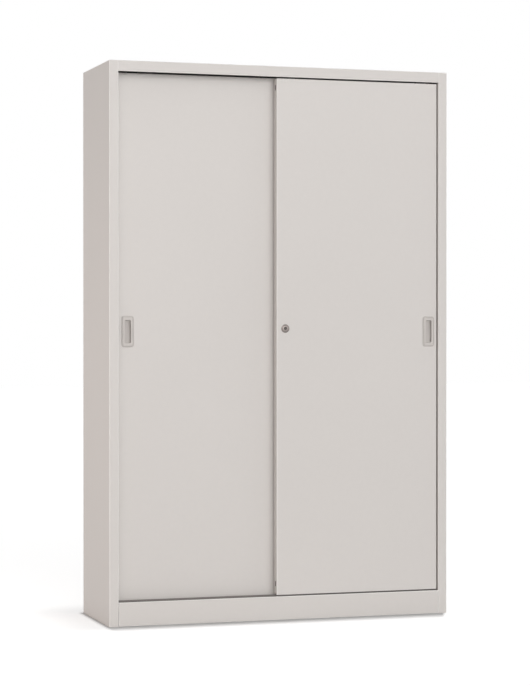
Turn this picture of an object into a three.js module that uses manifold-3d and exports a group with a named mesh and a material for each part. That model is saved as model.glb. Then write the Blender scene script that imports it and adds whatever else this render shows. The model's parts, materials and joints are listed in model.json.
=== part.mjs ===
// A free-standing steel cupboard with two sliding doors.
// Millimetres, +X to the right, +Y to the back, +Z up, origin at the centre of the footprint on the floor.

import * as THREE from 'three';
import { mergeVertices } from 'three/addons/utils/BufferGeometryUtils.js';
import Module from 'manifold-3d';

const wasm = await Module();
wasm.setup();

// Driving dimensions
const cabinetWidth = 1250;
const cabinetDepth = 400;
const cabinetHeight = 1950;
const sheet = 1;
const innerBend = 0.8;
const looseFit = 0.3;

// Frame
const stileWidth = 32.5;
const headerHeight = 37;
const headerLip = 8;
const plinthHeight = 83;
const plinthLip = 3.2;
const floorRecess = 9.5;
const pillarDepth = 87;
const rearFlange = 20;
const weldFlange = 18;
const floorLip = 15;
const panelFold = 20;
const bendClear = 1.5;

// Doors
const frontDoorSetback = 8;
const doorThickness = 32;
const doorGap = 9;
const doorOverlap = 35.4;
const doorSideGap = 4;
const doorBackLip = 14;
const frontDoorSillGap = 4.4;
const frontDoorHeadGap = 5.2;
const rearDoorSillGap = 1.7;
const rearDoorHeadGap = 1;

// Tracks
const bottomTrackWidth = 14;
const bottomTrackBase = 1;
const bottomRibWidth = 2;
const bottomRibHeight = 14.5;
const topTrackInner = 10;
const topTrackDrop = 31;

// Finger pulls and lock, heights from the floor
const handleHeight = 1016.5;
const rearHandleInset = 40.5;
const frontHandleInset = 31.5;
const lockHeight = 1026.8;
const lockInset = 31.5;

// Interior
const shelfCount = 4;
const shelfThickness = 25;
const slotPitch = 60;

const openingHalf = cabinetWidth / 2 - stileWidth;
const seamHalf = openingHalf - looseFit;
const wallInner = cabinetWidth / 2 - sheet;
const frontPlane = -cabinetDepth / 2;
const backPlane = cabinetDepth / 2;
const topUnderside = cabinetHeight - sheet;
const doorWidth = openingHalf - doorSideGap + doorOverlap / 2;
const doorCentre = doorThickness / 2;
const frontDoorFace = frontPlane + frontDoorSetback;
const rearDoorFace = frontDoorFace + doorThickness + doorGap;
const frontDoorLeft = -doorOverlap / 2;
const rearDoorLeft = doorOverlap / 2 - doorWidth;
const railUnderside = cabinetHeight - headerHeight;
const floorLevel = plinthHeight - floorRecess;
const frontDoorBottom = plinthHeight + frontDoorSillGap;
const frontDoorTop = railUnderside - frontDoorHeadGap;
const rearDoorBottom = plinthHeight + rearDoorSillGap;
const rearDoorTop = railUnderside - rearDoorHeadGap;
const bottomRibTop = floorLevel + bottomRibHeight;
const topTrackMouth = topUnderside - topTrackDrop;

const cabinet = new THREE.Group();
cabinet.name = 'sliding_door_cabinet';

// Finishes
const coatedSteel = { color: 0xd6d2ce, roughness: 0.55, metalness: 0.0 };
const coatedFrame = { color: 0xd8d4d0, roughness: 0.55, metalness: 0.0 };
const mouldedGrey = { color: 0xcdc9c6, roughness: 0.45, metalness: 0.0 };
const zincSteel = { color: 0xb4b3ae, roughness: 0.4, metalness: 0.9 };
const nickel = { color: 0x6f6c69, roughness: 0.3, metalness: 1.0 };
const whiteNylon = { color: 0xe6e4de, roughness: 0.5, metalness: 0.0 };
const darkRubber = { color: 0x2e2d2c, roughness: 0.8, metalness: 0.0 };
const darkTrack = { color: 0x8e8985, roughness: 0.5, metalness: 0.0 };
const blackNylon = { color: 0x2b2a29, roughness: 0.5, metalness: 0.0 };

const add = (parent, name, geometry, finish, x = 0, y = 0, z = 0) => {
  const mesh = new THREE.Mesh(geometry, new THREE.MeshStandardMaterial(finish));
  mesh.name = name;
  mesh.position.set(x, y, z);
  parent.add(mesh);
  return mesh;
};

// Solids from closed triangle meshes, for joins and cuts
const toSolid = (geometry) => {
  const bare = geometry.clone();
  bare.deleteAttribute('normal');
  bare.deleteAttribute('uv');
  const merged = mergeVertices(bare);
  const points = new Float32Array(merged.attributes.position.array);
  const index = merged.index.array;
  const faces = [];
  for (let i = 0; i < index.length; i += 3) {
    const [a, b, c] = [index[i], index[i + 1], index[i + 2]];
    if (a !== b && b !== c && c !== a) {
      faces.push(a, b, c);
    }
  }
  const triVerts = new Uint32Array(faces);
  return new wasm.Manifold(new wasm.Mesh({ numProp: 3, vertProperties: points, triVerts }));
};

const toGeometry = (solid) => {
  const mesh = solid.getMesh();
  const geometry = new THREE.BufferGeometry();
  geometry.setAttribute('position', new THREE.BufferAttribute(mesh.vertProperties, mesh.numProp));
  geometry.setIndex(new THREE.BufferAttribute(mesh.triVerts, 1));
  const flat = geometry.toNonIndexed();
  flat.computeVertexNormals();
  return flat;
};

const combine = (base, additions, cuts = []) => {
  let solid = toSolid(base);
  for (const piece of additions) {
    solid = solid.add(toSolid(piece));
  }
  for (const piece of cuts) {
    solid = solid.subtract(toSolid(piece));
  }
  return toGeometry(solid);
};

// A box from its low and high limits along each axis
const block = (x0, x1, y0, y1, z0, z1) => {
  const geometry = new THREE.BoxGeometry(x1 - x0, y1 - y0, z1 - z0);
  geometry.translate((x0 + x1) / 2, (y0 + y1) / 2, (z0 + z1) / 2);
  return geometry;
};

// Outlines extruded along one axis: XY outlines upwards, YZ outlines to the right, XZ outlines to the back
const toShape = (points) => new THREE.Shape(points.map(([u, v]) => new THREE.Vector2(u, v)));

const prismUp = (shape, z0, z1) => {
  const geometry = new THREE.ExtrudeGeometry(shape, { depth: z1 - z0, bevelEnabled: false });
  geometry.translate(0, 0, z0);
  return geometry;
};

const prismRight = (shape, x0, x1) => {
  const geometry = new THREE.ExtrudeGeometry(shape, { depth: x1 - x0, bevelEnabled: false });
  const turn = new THREE.Matrix4();
  turn.makeBasis(
    new THREE.Vector3(0, 1, 0),
    new THREE.Vector3(0, 0, 1),
    new THREE.Vector3(1, 0, 0),
  );
  geometry.applyMatrix4(turn);
  geometry.translate(x0, 0, 0);
  return geometry;
};

const prismBack = (shape, y0, y1) => {
  const geometry = new THREE.ExtrudeGeometry(shape, { depth: y1 - y0, bevelEnabled: false });
  geometry.rotateX(Math.PI / 2);
  geometry.translate(0, y1, 0);
  return geometry;
};

// Section of a folded sheet with round folds: the outer face follows the path, the metal is on its left
const foldSteps = 3;

const foldedSheet = (path, thickness = sheet) => {
  const corners = path.map(([u, v]) => new THREE.Vector2(u, v));
  const outer = [];
  const inner = [];
  const leftOf = (direction) => new THREE.Vector2(-direction.y, direction.x);
  corners.forEach((corner, i) => {
    const before = corners[i - 1];
    const after = corners[i + 1];
    if (!before || !after) {
      const along = before ? corner.clone().sub(before) : after.clone().sub(corner);
      const offset = leftOf(along.normalize()).multiplyScalar(thickness);
      outer.push(corner.clone());
      inner.push(corner.clone().add(offset));
      return;
    }
    const arriving = corner.clone().sub(before).normalize();
    const leaving = after.clone().sub(corner).normalize();
    const angle = Math.atan2(arriving.cross(leaving), arriving.dot(leaving));
    const side = Math.sign(angle);
    const outerRadius = side > 0 ? innerBend + thickness : innerBend;
    const innerRadius = side > 0 ? innerBend : innerBend + thickness;
    const reach = outerRadius * Math.tan(Math.abs(angle) / 2);
    const start = corner.clone().addScaledVector(arriving, -reach);
    const centre = start.clone().addScaledVector(leftOf(arriving), side * outerRadius);
    const spoke = start.clone().sub(centre).normalize();
    for (let step = 0; step <= foldSteps; step += 1) {
      const ray = spoke.clone().rotateAround(new THREE.Vector2(0, 0), (angle * step) / foldSteps);
      outer.push(centre.clone().addScaledVector(ray, outerRadius));
      inner.push(centre.clone().addScaledVector(ray, innerRadius));
    }
  });
  return new THREE.Shape([...outer, ...inner.reverse()]);
};

const mirrored = (path) => path.map(([u, v]) => [-u, v]).reverse();

// Rectangle with round corners, centred on u and v
const roundedRectangle = (u, v, width, height, radius) => {
  const left = u - width / 2;
  const right = u + width / 2;
  const low = v - height / 2;
  const high = v + height / 2;
  const shape = new THREE.Shape();
  shape.moveTo(left + radius, low);
  shape.lineTo(right - radius, low);
  shape.absarc(right - radius, low + radius, radius, -Math.PI / 2, 0, false);
  shape.lineTo(right, high - radius);
  shape.absarc(right - radius, high - radius, radius, 0, Math.PI / 2, false);
  shape.lineTo(left + radius, high);
  shape.absarc(left + radius, high - radius, radius, Math.PI / 2, Math.PI, false);
  shape.lineTo(left, low + radius);
  shape.absarc(left + radius, low + radius, radius, Math.PI, Math.PI * 1.5, false);
  return shape;
};

const cornerSteps = 6;

const roundedPlate = (u, v, width, height, radius, y0, y1) => {
  const depth = y1 - y0;
  const settings = { depth, bevelEnabled: false, curveSegments: cornerSteps };
  const geometry = new THREE.ExtrudeGeometry(roundedRectangle(u, v, width, height, radius), settings);
  geometry.rotateX(Math.PI / 2);
  geometry.translate(0, y1, 0);
  return geometry;
};

// A turned piece about the Y axis, from a closed section of radius and depth
const turned = (section, sides) => {
  const points = section.map(([radius, depth]) => new THREE.Vector2(radius, depth));
  return new THREE.LatheGeometry(points, sides);
};

// Side panels: outer wall, front stile, pillar behind the stile and rear flange in one folded sheet
const pillarLipGap = bendClear;
const sidePath = [
  [-cabinetWidth / 2 + rearFlange, backPlane],
  [-cabinetWidth / 2, backPlane],
  [-cabinetWidth / 2, frontPlane],
  [-openingHalf, frontPlane],
  [-openingHalf, frontPlane + pillarDepth],
  [-wallInner + pillarLipGap, frontPlane + pillarDepth],
];

const sidePanel = (side) => {
  const path = side < 0 ? sidePath : mirrored(sidePath);
  const wall = prismUp(foldedSheet(path), 0, topUnderside);
  const root = cabinetWidth / 2 - sheet / 2;
  const tip = cabinetWidth / 2 - weldFlange;
  const low = Math.min(side * root, side * tip);
  const high = Math.max(side * root, side * tip);
  const front = frontPlane + pillarDepth + pillarLipGap;
  const back = backPlane - panelFold;
  const foot = block(low, high, front, back, 0, sheet);
  const cap = block(low, high, front, back, topUnderside - sheet, topUnderside);
  return combine(wall, [foot, cap]);
};

add(cabinet, 'left_side_panel', sidePanel(-1), coatedFrame);
add(cabinet, 'right_side_panel', sidePanel(1), coatedFrame);

// Top panel with its front rail between the stiles
const topPath = [
  [backPlane, cabinetHeight - rearFlange],
  [backPlane, cabinetHeight],
  [frontPlane, cabinetHeight],
  [frontPlane, railUnderside],
  [frontPlane + headerLip, railUnderside],
];
const topMiddle = prismRight(foldedSheet(topPath), -seamHalf, seamHalf);
const topEnds = [-1, 1].map((side) => {
  const low = Math.min(side * cabinetWidth / 2, side * (seamHalf - sheet));
  const high = Math.max(side * cabinetWidth / 2, side * (seamHalf - sheet));
  const edge = sheet + innerBend;
  return combine(
    block(low, high, frontPlane + edge, backPlane - edge, topUnderside, cabinetHeight),
    [-1, 1].map((end) => {
      const corner = block(
        Math.min(side * cabinetWidth / 2, side * openingHalf),
        Math.max(side * cabinetWidth / 2, side * openingHalf),
        end < 0 ? frontPlane : backPlane - edge - sheet,
        end < 0 ? frontPlane + edge + sheet : backPlane,
        topUnderside,
        cabinetHeight,
      );
      return corner;
    }),
  );
});
add(cabinet, 'top_panel', combine(topMiddle, topEnds), coatedFrame);

// Front plinth with a lip on the floor and a narrow lip at the top
const plinthPath = [
  [frontPlane + plinthLip, plinthHeight],
  [frontPlane, plinthHeight],
  [frontPlane, 0],
  [frontPlane + floorLip, 0],
];
add(cabinet, 'front_plinth', prismRight(foldedSheet(plinthPath), -seamHalf, seamHalf), coatedFrame);

// Rear plinth between the rear flanges of the sides
const rearPlinthHalf = cabinetWidth / 2 - rearFlange - looseFit;
const rearPlinthPath = [
  [backPlane - floorLip, 0],
  [backPlane, 0],
  [backPlane, floorLevel],
];
add(
  cabinet,
  'rear_plinth',
  prismRight(foldedSheet(rearPlinthPath), -rearPlinthHalf, rearPlinthHalf),
  coatedFrame,
);

// Bottom panel below the plinth's top, folded down at both ends, between the pillars and behind them
const backPanelFront = backPlane - 2 * sheet;
const bottomFront = frontPlane + sheet;
const bottomBack = backPanelFront - sheet;
const bottomPath = [
  [bottomBack, floorLevel - panelFold],
  [bottomBack, floorLevel],
  [bottomFront, floorLevel],
  [bottomFront, floorLevel - panelFold],
];
const behindPillar = frontPlane + pillarDepth + looseFit;
const bottomWings = [-1, 1].map((side) => {
  const inner = side * (seamHalf - sheet);
  const outer = side * (wallInner - looseFit);
  const low = Math.min(inner, outer);
  const high = Math.max(inner, outer);
  return block(low, high, behindPillar, bottomBack - bendClear, floorLevel - sheet, floorLevel);
});
const bottomMiddle = prismRight(foldedSheet(bottomPath), -seamHalf, seamHalf);
add(cabinet, 'bottom_panel', combine(bottomMiddle, bottomWings), coatedFrame);

// Back panels in two halves with a strip over their joint
const backHalfWidth = wallInner - bendClear;
const backBottom = floorLevel - panelFold;
const backTop = topUnderside - bendClear;
const backPanel = (low, high) => block(low, high, backPanelFront, backPlane - sheet, backBottom, backTop);
add(cabinet, 'back_panel_left', backPanel(-backHalfWidth, -looseFit / 2), coatedFrame);
add(cabinet, 'back_panel_right', backPanel(looseFit / 2, backHalfWidth), coatedFrame);

const stripHalf = 22;
const stripRise = 6;
const stripFoot = 9;
const stripPath = [
  [stripHalf, backPanelFront],
  [stripHalf - stripFoot, backPanelFront],
  [stripHalf - stripFoot, backPanelFront - stripRise],
  [stripFoot - stripHalf, backPanelFront - stripRise],
  [stripFoot - stripHalf, backPanelFront],
  [-stripHalf, backPanelFront],
];
const stripBottom = floorLevel + looseFit;
add(cabinet, 'back_joint_strip', prismUp(foldedSheet(stripPath), stripBottom, backTop), coatedFrame);

// Tracks: a ribbed strip under each door and a downward channel above it
const doorPlanes = [
  { label: 'front', face: frontDoorFace },
  { label: 'rear', face: rearDoorFace },
];

for (const { label, face } of doorPlanes) {
  const centre = face + doorCentre;
  const ribBottom = floorLevel + bottomTrackBase;
  const ribSection = [
    [centre - bottomTrackWidth / 2, floorLevel],
    [centre + bottomTrackWidth / 2, floorLevel],
    [centre + bottomTrackWidth / 2, ribBottom],
    [centre + bottomRibWidth / 2, ribBottom],
    [centre + bottomRibWidth / 2, bottomRibTop],
    [centre - bottomRibWidth / 2, bottomRibTop],
    [centre - bottomRibWidth / 2, ribBottom],
    [centre - bottomTrackWidth / 2, ribBottom],
  ];
  const rib = prismRight(toShape(ribSection), -seamHalf, seamHalf);
  add(cabinet, `${label}_bottom_track`, rib, darkTrack);
  const channelHalf = topTrackInner / 2 + sheet;
  const channelPath = [
    [centre + channelHalf, topTrackMouth],
    [centre + channelHalf, topUnderside],
    [centre - channelHalf, topUnderside],
    [centre - channelHalf, topTrackMouth],
  ];
  const channel = prismRight(foldedSheet(channelPath), -seamHalf, seamHalf);
  add(cabinet, `${label}_top_track`, channel, blackNylon);
}

// Stop buffers on the pillars, where both doors meet them
const bufferHeight = 24;
const bufferStartShare = 0.625;
const bufferEndShare = 0.875;
const bufferLevel = handleHeight - bufferHeight / 2;
const bufferFront = frontDoorFace + doorThickness * bufferStartShare;
const bufferBack = rearDoorFace + doorThickness * bufferEndShare;
for (const side of [-1, 1]) {
  const root = side * openingHalf;
  const tip = side * (openingHalf - doorSideGap + looseFit);
  const low = Math.min(root, tip);
  const high = Math.max(root, tip);
  const buffer = block(low, high, bufferFront, bufferBack, bufferLevel, bufferLevel + bufferHeight);
  add(cabinet, side < 0 ? 'left_stop_buffer' : 'right_stop_buffer', buffer, darkRubber);
}

// Slotted uprights on the side walls
const uprightWidth = 30;
const uprightSheet = 1.2;
const slotHeight = 14;
const slotWidth = 3;
const slotMargin = 40;
const uprightTop = topUnderside - sheet - looseFit;
const uprightRun = uprightTop - floorLevel;
const slotRows = Math.floor((uprightRun - 2 * slotMargin) / slotPitch) + 1;
const slotBottom = (row) => floorLevel + slotMargin + row * slotPitch;
const frontUprightInset = 18;
const rearUprightInset = 20;
const frontUprightCentre = frontPlane + pillarDepth + frontUprightInset + uprightWidth / 2;
const rearUprightCentre = backPlane - rearUprightInset - uprightWidth / 2;

const upright = (side, centre) => {
  const path = [
    [-wallInner, centre - uprightWidth / 2],
    [-openingHalf, centre - uprightWidth / 2],
    [-openingHalf, centre + uprightWidth / 2],
    [-wallInner, centre + uprightWidth / 2],
  ];
  const outline = side < 0 ? path : mirrored(path);
  const post = prismUp(foldedSheet(outline, uprightSheet), floorLevel, uprightTop);
  const nearFace = side * (openingHalf - uprightSheet);
  const farFace = side * (openingHalf + 2 * uprightSheet);
  const low = Math.min(nearFace, farFace);
  const high = Math.max(nearFace, farFace);
  const cuts = [];
  for (let row = 0; row < slotRows; row += 1) {
    const base = slotBottom(row);
    cuts.push(block(low, high, centre - slotWidth / 2, centre + slotWidth / 2, base, base + slotHeight));
  }
  return combine(post, [], cuts);
};

for (const side of [-1, 1]) {
  const hand = side < 0 ? 'left' : 'right';
  add(cabinet, `front_upright_${hand}`, upright(side, frontUprightCentre), zincSteel);
  add(cabinet, `rear_upright_${hand}`, upright(side, rearUprightCentre), zincSteel);
}

// Shelves on hooked rails, on evenly spread slot rows
const railSheet = 1;
const shelfEndGap = 0.5;
const shelfSetback = 5.3;
const shelfFront = frontPlane + pillarDepth + shelfSetback;
const shelfBack = backPanelFront - stripRise - sheet - looseFit;
const shelfLip = 10;
const endInsetShare = 1 / 3;
const hookThickness = 1.6;
const hookNeck = 6;
const hookNose = 6;
const hookReach = 4;
const neckDrop = 18;
const railReach = 16;
const railOver = 6;
const railFace = openingHalf - looseFit;
const shelfHalf = railFace - railSheet - shelfEndGap;
const rowStep = Math.round(slotRows / (shelfCount + 1));
const shelfTop = (index) => slotBottom(rowStep * (index + 1) - 1) + looseFit + neckDrop;

const shelfGeometry = () => {
  const path = [
    [shelfBack - shelfLip, -shelfThickness],
    [shelfBack, -shelfThickness],
    [shelfBack, 0],
    [shelfFront, 0],
    [shelfFront, -shelfThickness],
    [shelfFront + shelfLip, -shelfThickness],
  ];
  const tray = prismRight(foldedSheet(path), -shelfHalf, shelfHalf);
  const inset = (sheet + innerBend) * endInsetShare;
  const front = shelfFront + inset;
  const back = shelfBack - inset;
  const ends = [-1, 1].map((side) => {
    const low = Math.min(side * shelfHalf, side * (shelfHalf - sheet));
    const high = Math.max(side * shelfHalf, side * (shelfHalf - sheet));
    return block(low, high, front, back, -shelfThickness + sheet / 2, -inset);
  });
  return combine(tray, ends);
};

const shelfRail = (side) => {
  const seat = -shelfThickness;
  const legTop = -neckDrop + hookNeck + railSheet * 2;
  const front = frontUprightCentre - uprightWidth / 2 - railOver;
  const back = rearUprightCentre + uprightWidth / 2 + railOver;
  const lowX = Math.min(side * railFace, side * (railFace - railSheet));
  const highX = Math.max(side * railFace, side * (railFace - railSheet));
  const lowSeat = Math.min(side * railFace, side * (railFace - railReach));
  const highSeat = Math.max(side * railFace, side * (railFace - railReach));
  const leg = block(lowX, highX, front, back, seat - railSheet, legTop);
  const ledge = block(lowSeat, highSeat, front, back, seat - railSheet, seat);
  const behindWeb = openingHalf + uprightSheet + looseFit;
  const hooks = [frontUprightCentre, rearUprightCentre].map((centre) => {
    const outline = [
      [side * (railFace - railSheet / 2), -neckDrop],
      [side * behindWeb, -neckDrop],
      [side * behindWeb, -neckDrop - hookNose],
      [side * (behindWeb + hookReach / 2), -neckDrop - hookNose],
      [side * (behindWeb + hookReach), -neckDrop],
      [side * (behindWeb + hookReach), -neckDrop + hookNeck],
      [side * (railFace - railSheet / 2), -neckDrop + hookNeck],
    ];
    return prismBack(toShape(outline), centre - hookThickness / 2, centre + hookThickness / 2);
  });
  return combine(leg, [ledge, ...hooks]);
};

for (let index = 0; index < shelfCount; index += 1) {
  const level = shelfTop(index);
  const label = index + 1;
  add(cabinet, `shelf_${label}`, shelfGeometry(), coatedSteel, 0, 0, level);
  add(cabinet, `shelf_rail_left_${label}`, shelfRail(-1), zincSteel, 0, 0, level);
  add(cabinet, `shelf_rail_right_${label}`, shelfRail(1), zincSteel, 0, 0, level);
}

// Doors: each is a group whose origin is the lower left corner of its face
const slotInFlangeWidth = 9;
const slotInFlangeHeight = 18;
const upperSlotDrop = 22.5;
const lowerSlotRise = 29.4;
const notchClear = 3;
const channelEnd = sheet + innerBend + looseFit;
const channelDrop = 25;
const lowerChannelBottom = 14;
const lowerChannelTop = 40;
const stiffenerHalf = 30;
const stiffenerCrown = 18;
const stiffenerRise = 15;
const cutOver = 2;

// Finger pull: a bezel on the door's face with a cup behind it
const bezelWidth = 43.5;
const bezelHeight = 108.5;
const bezelRadius = 9;
const bezelProud = 2;
const recessWidth = 22;
const recessHeight = 80;
const recessRadius = 5;
const recessDepth = 11;
const recessDraft = 3.2;
const cupWall = 2;
const cupWidth = recessWidth + 2 * cupWall;
const cupHeight = recessHeight + 2 * cupWall;
const cupRadius = recessRadius + cupWall;
const cupBack = recessDepth + cupWall;

// Draws the back of a plate in towards its middle
const drawnIn = (geometry, width, height, draft) => {
  const places = geometry.attributes.position;
  geometry.computeBoundingBox();
  const middle = (geometry.boundingBox.min.y + geometry.boundingBox.max.y) / 2;
  for (let i = 0; i < places.count; i += 1) {
    if (places.getY(i) > middle) {
      places.setX(i, places.getX(i) * (1 - (2 * draft) / width));
      places.setZ(i, places.getZ(i) * (1 - (2 * draft) / height));
    }
  }
  return geometry;
};

const fingerPull = () => {
  const bezel = roundedPlate(0, 0, bezelWidth, bezelHeight, bezelRadius, -bezelProud, 0);
  const cup = roundedPlate(0, 0, cupWidth, cupHeight, cupRadius, -bezelProud / 2, cupBack);
  const front = -bezelProud - looseFit;
  const pocket = roundedPlate(0, 0, recessWidth, recessHeight, recessRadius, front, recessDepth);
  return combine(bezel, [cup], [drawnIn(pocket, recessWidth, recessHeight, recessDraft)]);
};

const pullCutout = (x, z) => {
  const width = cupWidth + 2 * looseFit;
  const height = cupHeight + 2 * looseFit;
  return roundedPlate(x, z, width, height, cupRadius + looseFit, -cutOver, sheet + cutOver);
};

// Roller and its bracket with a riveted axle
const rollerRadius = 12.5;
const rollerGroove = 10.5;
const rollerWidth = 8;
const grooveWidth = 3;
const grooveTaper = 1;
const axleRadius = 2.5;
const axleHead = 4;
const axleHeadThickness = 1.5;
const boreRadius = axleRadius + looseFit;
const rollerSides = 32;
const axleSides = 20;
const bracketLength = 34;
const bracketSheet = 1.5;
const cheekGap = 1;
const cheekDrop = 8;
const bracketInset = 70;

const rollerGeometry = () => {
  const half = rollerWidth / 2;
  return turned(
    [
      [boreRadius, -half],
      [rollerRadius, -half],
      [rollerRadius, -grooveWidth / 2 - grooveTaper],
      [rollerGroove, -grooveWidth / 2],
      [rollerGroove, grooveWidth / 2],
      [rollerRadius, grooveWidth / 2 + grooveTaper],
      [rollerRadius, half],
      [boreRadius, half],
      [boreRadius, -half],
    ],
    rollerSides,
  );
};

const rollerBracket = (topAboveAxle) => {
  const inner = rollerWidth / 2 + cheekGap;
  const outer = inner + bracketSheet;
  const half = bracketLength / 2;
  const path = [
    [outer, -cheekDrop],
    [outer, topAboveAxle],
    [-outer, topAboveAxle],
    [-outer, -cheekDrop],
  ];
  const frame = prismRight(foldedSheet(path, bracketSheet), -half, half);
  const reach = outer + axleHeadThickness;
  const axle = turned(
    [
      [0, -reach],
      [axleHead, -reach],
      [axleHead, -outer + bracketSheet / 2],
      [axleRadius, -outer + bracketSheet / 2],
      [axleRadius, outer - bracketSheet / 2],
      [axleHead, outer - bracketSheet / 2],
      [axleHead, reach],
      [0, reach],
    ],
    axleSides,
  );
  return combine(frame, [axle]);
};

// Top guide: a block held under the upper channel, its stem up in the track
const guideLength = 36;
const guideStemWidth = topTrackInner - 2 * sheet;
const guideFootWidth = 14;
const guideFootLength = 46;
const guideFoot = 3;
const guideEngage = 14;
const guideInset = 60;

const topGuide = (stemTop) => {
  const halfStem = guideStemWidth / 2;
  const halfFoot = guideFootWidth / 2;
  const footTop = -sheet - looseFit;
  const stemBottom = footTop - guideFoot / 2;
  const stem = block(-guideLength / 2, guideLength / 2, -halfStem, halfStem, stemBottom, stemTop);
  const foot = block(
    -guideFootLength / 2,
    guideFootLength / 2,
    -halfFoot,
    halfFoot,
    footTop - guideFoot,
    footTop,
  );
  return combine(foot, [stem]);
};

// Lock: a threaded body through the door, its nut, a turning cylinder, the cam and its screw
const rosetteRadius = 15.2;
const rosetteFace = 11;
const rosetteProud = 3.5;
const rosetteEdge = 0.8;
const barrelRadius = 9.5;
const barrelEnd = 30;
const plugRadius = 5.5;
const plugBore = plugRadius + looseFit;
const plugSink = 0.7;
const keyGroove = 4.3;
const keyPost = 1.8;
const keyDepth = 6;
const keyNotch = 1.5;
const camStart = doorThickness + 1.8;
const camThickness = 2.5;
const camEnd = camStart + camThickness;
const camWidth = 10;
const camReach = 38;
const camEye = 8;
const tailSize = 6;
const tailHole = tailSize + 2 * looseFit;
const screwRadius = 1.7;
const screwHole = screwRadius + looseFit;
const screwHead = 5;
const screwHeadThickness = 1.4;
const screwLength = 8;
const nutFlats = 26;
const nutThickness = 5;
const nutSides = 6;
const lockSides = 40;

const lockBody = () => turned(
  [
    [plugBore, -rosetteProud],
    [rosetteFace, -rosetteProud],
    [rosetteRadius, -rosetteEdge],
    [rosetteRadius, 0],
    [barrelRadius, 0],
    [barrelRadius, barrelEnd],
    [plugBore, barrelEnd],
    [plugBore, -rosetteProud],
  ],
  lockSides,
);

const keyCylinder = () => {
  const face = -rosetteProud + plugSink;
  const plug = turned(
    [
      [0, face],
      [keyPost, face],
      [keyPost, face + keyDepth],
      [keyGroove, face + keyDepth],
      [keyGroove, face],
      [plugRadius, face],
      [plugRadius, camStart - looseFit],
      [0, camStart - looseFit],
    ],
    lockSides,
  );
  const half = tailSize / 2;
  const tail = block(-half, half, camStart - camThickness, camEnd, -half, half);
  const notchSide = keyNotch / 2;
  const notchEnd = -plugRadius - keyNotch;
  const notchStart = -(keyGroove + keyPost) / 2;
  const notch = block(-notchSide, notchSide, face - keyNotch, face + keyDepth, notchEnd, notchStart);
  notch.rotateY(Math.PI / 4);
  const hole = new THREE.CylinderGeometry(screwHole, screwHole, screwLength + screwHole, axleSides);
  hole.translate(0, camEnd + looseFit + screwHole - (screwLength + screwHole) / 2, 0);
  return combine(plug, [tail], [notch, hole]);
};

const lockCam = () => {
  const half = camWidth / 2;
  const eye = new THREE.CylinderGeometry(camEye, camEye, camThickness, lockSides);
  eye.translate(0, (camStart + camEnd) / 2, 0);
  const arm = block(0, camReach, camStart, camEnd, -half, half);
  const hole = tailHole / 2;
  const square = block(-hole, hole, camStart - cutOver, camEnd + cutOver, -hole, hole);
  return combine(eye, [arm], [square]);
};

const camScrew = () => {
  const start = camEnd + looseFit;
  const shankStart = start + screwHeadThickness - screwLength;
  return turned(
    [
      [0, shankStart],
      [screwRadius, shankStart],
      [screwRadius, start],
      [screwHead, start],
      [screwHead, start + screwHeadThickness],
      [0, start + screwHeadThickness],
    ],
    axleSides,
  );
};

const lockNut = () => {
  const across = nutFlats / Math.sqrt(3);
  const nut = new THREE.CylinderGeometry(across, across, nutThickness, nutSides);
  nut.translate(0, sheet + nutThickness / 2, 0);
  const hole = new THREE.CylinderGeometry(
    barrelRadius + looseFit,
    barrelRadius + looseFit,
    nutThickness + 2 * cutOver,
    lockSides,
  );
  hole.translate(0, sheet + nutThickness / 2, 0);
  return combine(nut, [], [hole]);
};

const doorPanel = (height, bottom, pullX, pullZ, lockX, lockZ) => {
  const path = [
    [doorBackLip, doorThickness],
    [0, doorThickness],
    [0, 0],
    [doorWidth, 0],
    [doorWidth, doorThickness],
    [doorWidth - doorBackLip, doorThickness],
  ];
  const tray = prismUp(foldedSheet(path), 0, height);
  const cuts = [pullCutout(pullX, pullZ)];
  const notchTop = bottomRibTop + notchClear - bottom;
  const notchHalf = bottomTrackWidth / 2 + looseFit;
  const slotHalf = slotInFlangeWidth / 2;
  for (const edge of [0, doorWidth]) {
    const low = edge - cutOver;
    const high = edge + cutOver;
    const upper = height - upperSlotDrop - slotInFlangeHeight;
    cuts.push(block(low, high, doorCentre - notchHalf, doorCentre + notchHalf, -cutOver, notchTop));
    for (const level of [lowerSlotRise, upper]) {
      const top = level + slotInFlangeHeight;
      cuts.push(block(low, high, doorCentre - slotHalf, doorCentre + slotHalf, level, top));
    }
  }
  if (lockX !== undefined) {
    const radius = barrelRadius + looseFit;
    const hole = new THREE.CylinderGeometry(radius, radius, sheet + 2 * cutOver, lockSides);
    hole.translate(lockX, sheet / 2, lockZ);
    cuts.push(hole);
  }
  return combine(tray, [], cuts);
};

const channelPiece = (low, high, cuts = []) => {
  const path = [
    [doorThickness - sheet, low],
    [doorThickness - sheet, high],
    [sheet, high],
    [sheet, low],
  ];
  const channel = prismRight(foldedSheet(path), channelEnd, doorWidth - channelEnd);
  return combine(channel, [], cuts);
};

const stiffener = (low, high) => {
  const middle = doorWidth / 2;
  const path = [
    [middle - stiffenerHalf, sheet],
    [middle - stiffenerCrown, sheet],
    [middle - stiffenerCrown, sheet + stiffenerRise],
    [middle + stiffenerCrown, sheet + stiffenerRise],
    [middle + stiffenerCrown, sheet],
    [middle + stiffenerHalf, sheet],
  ];
  return prismUp(foldedSheet(path), low, high);
};

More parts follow.
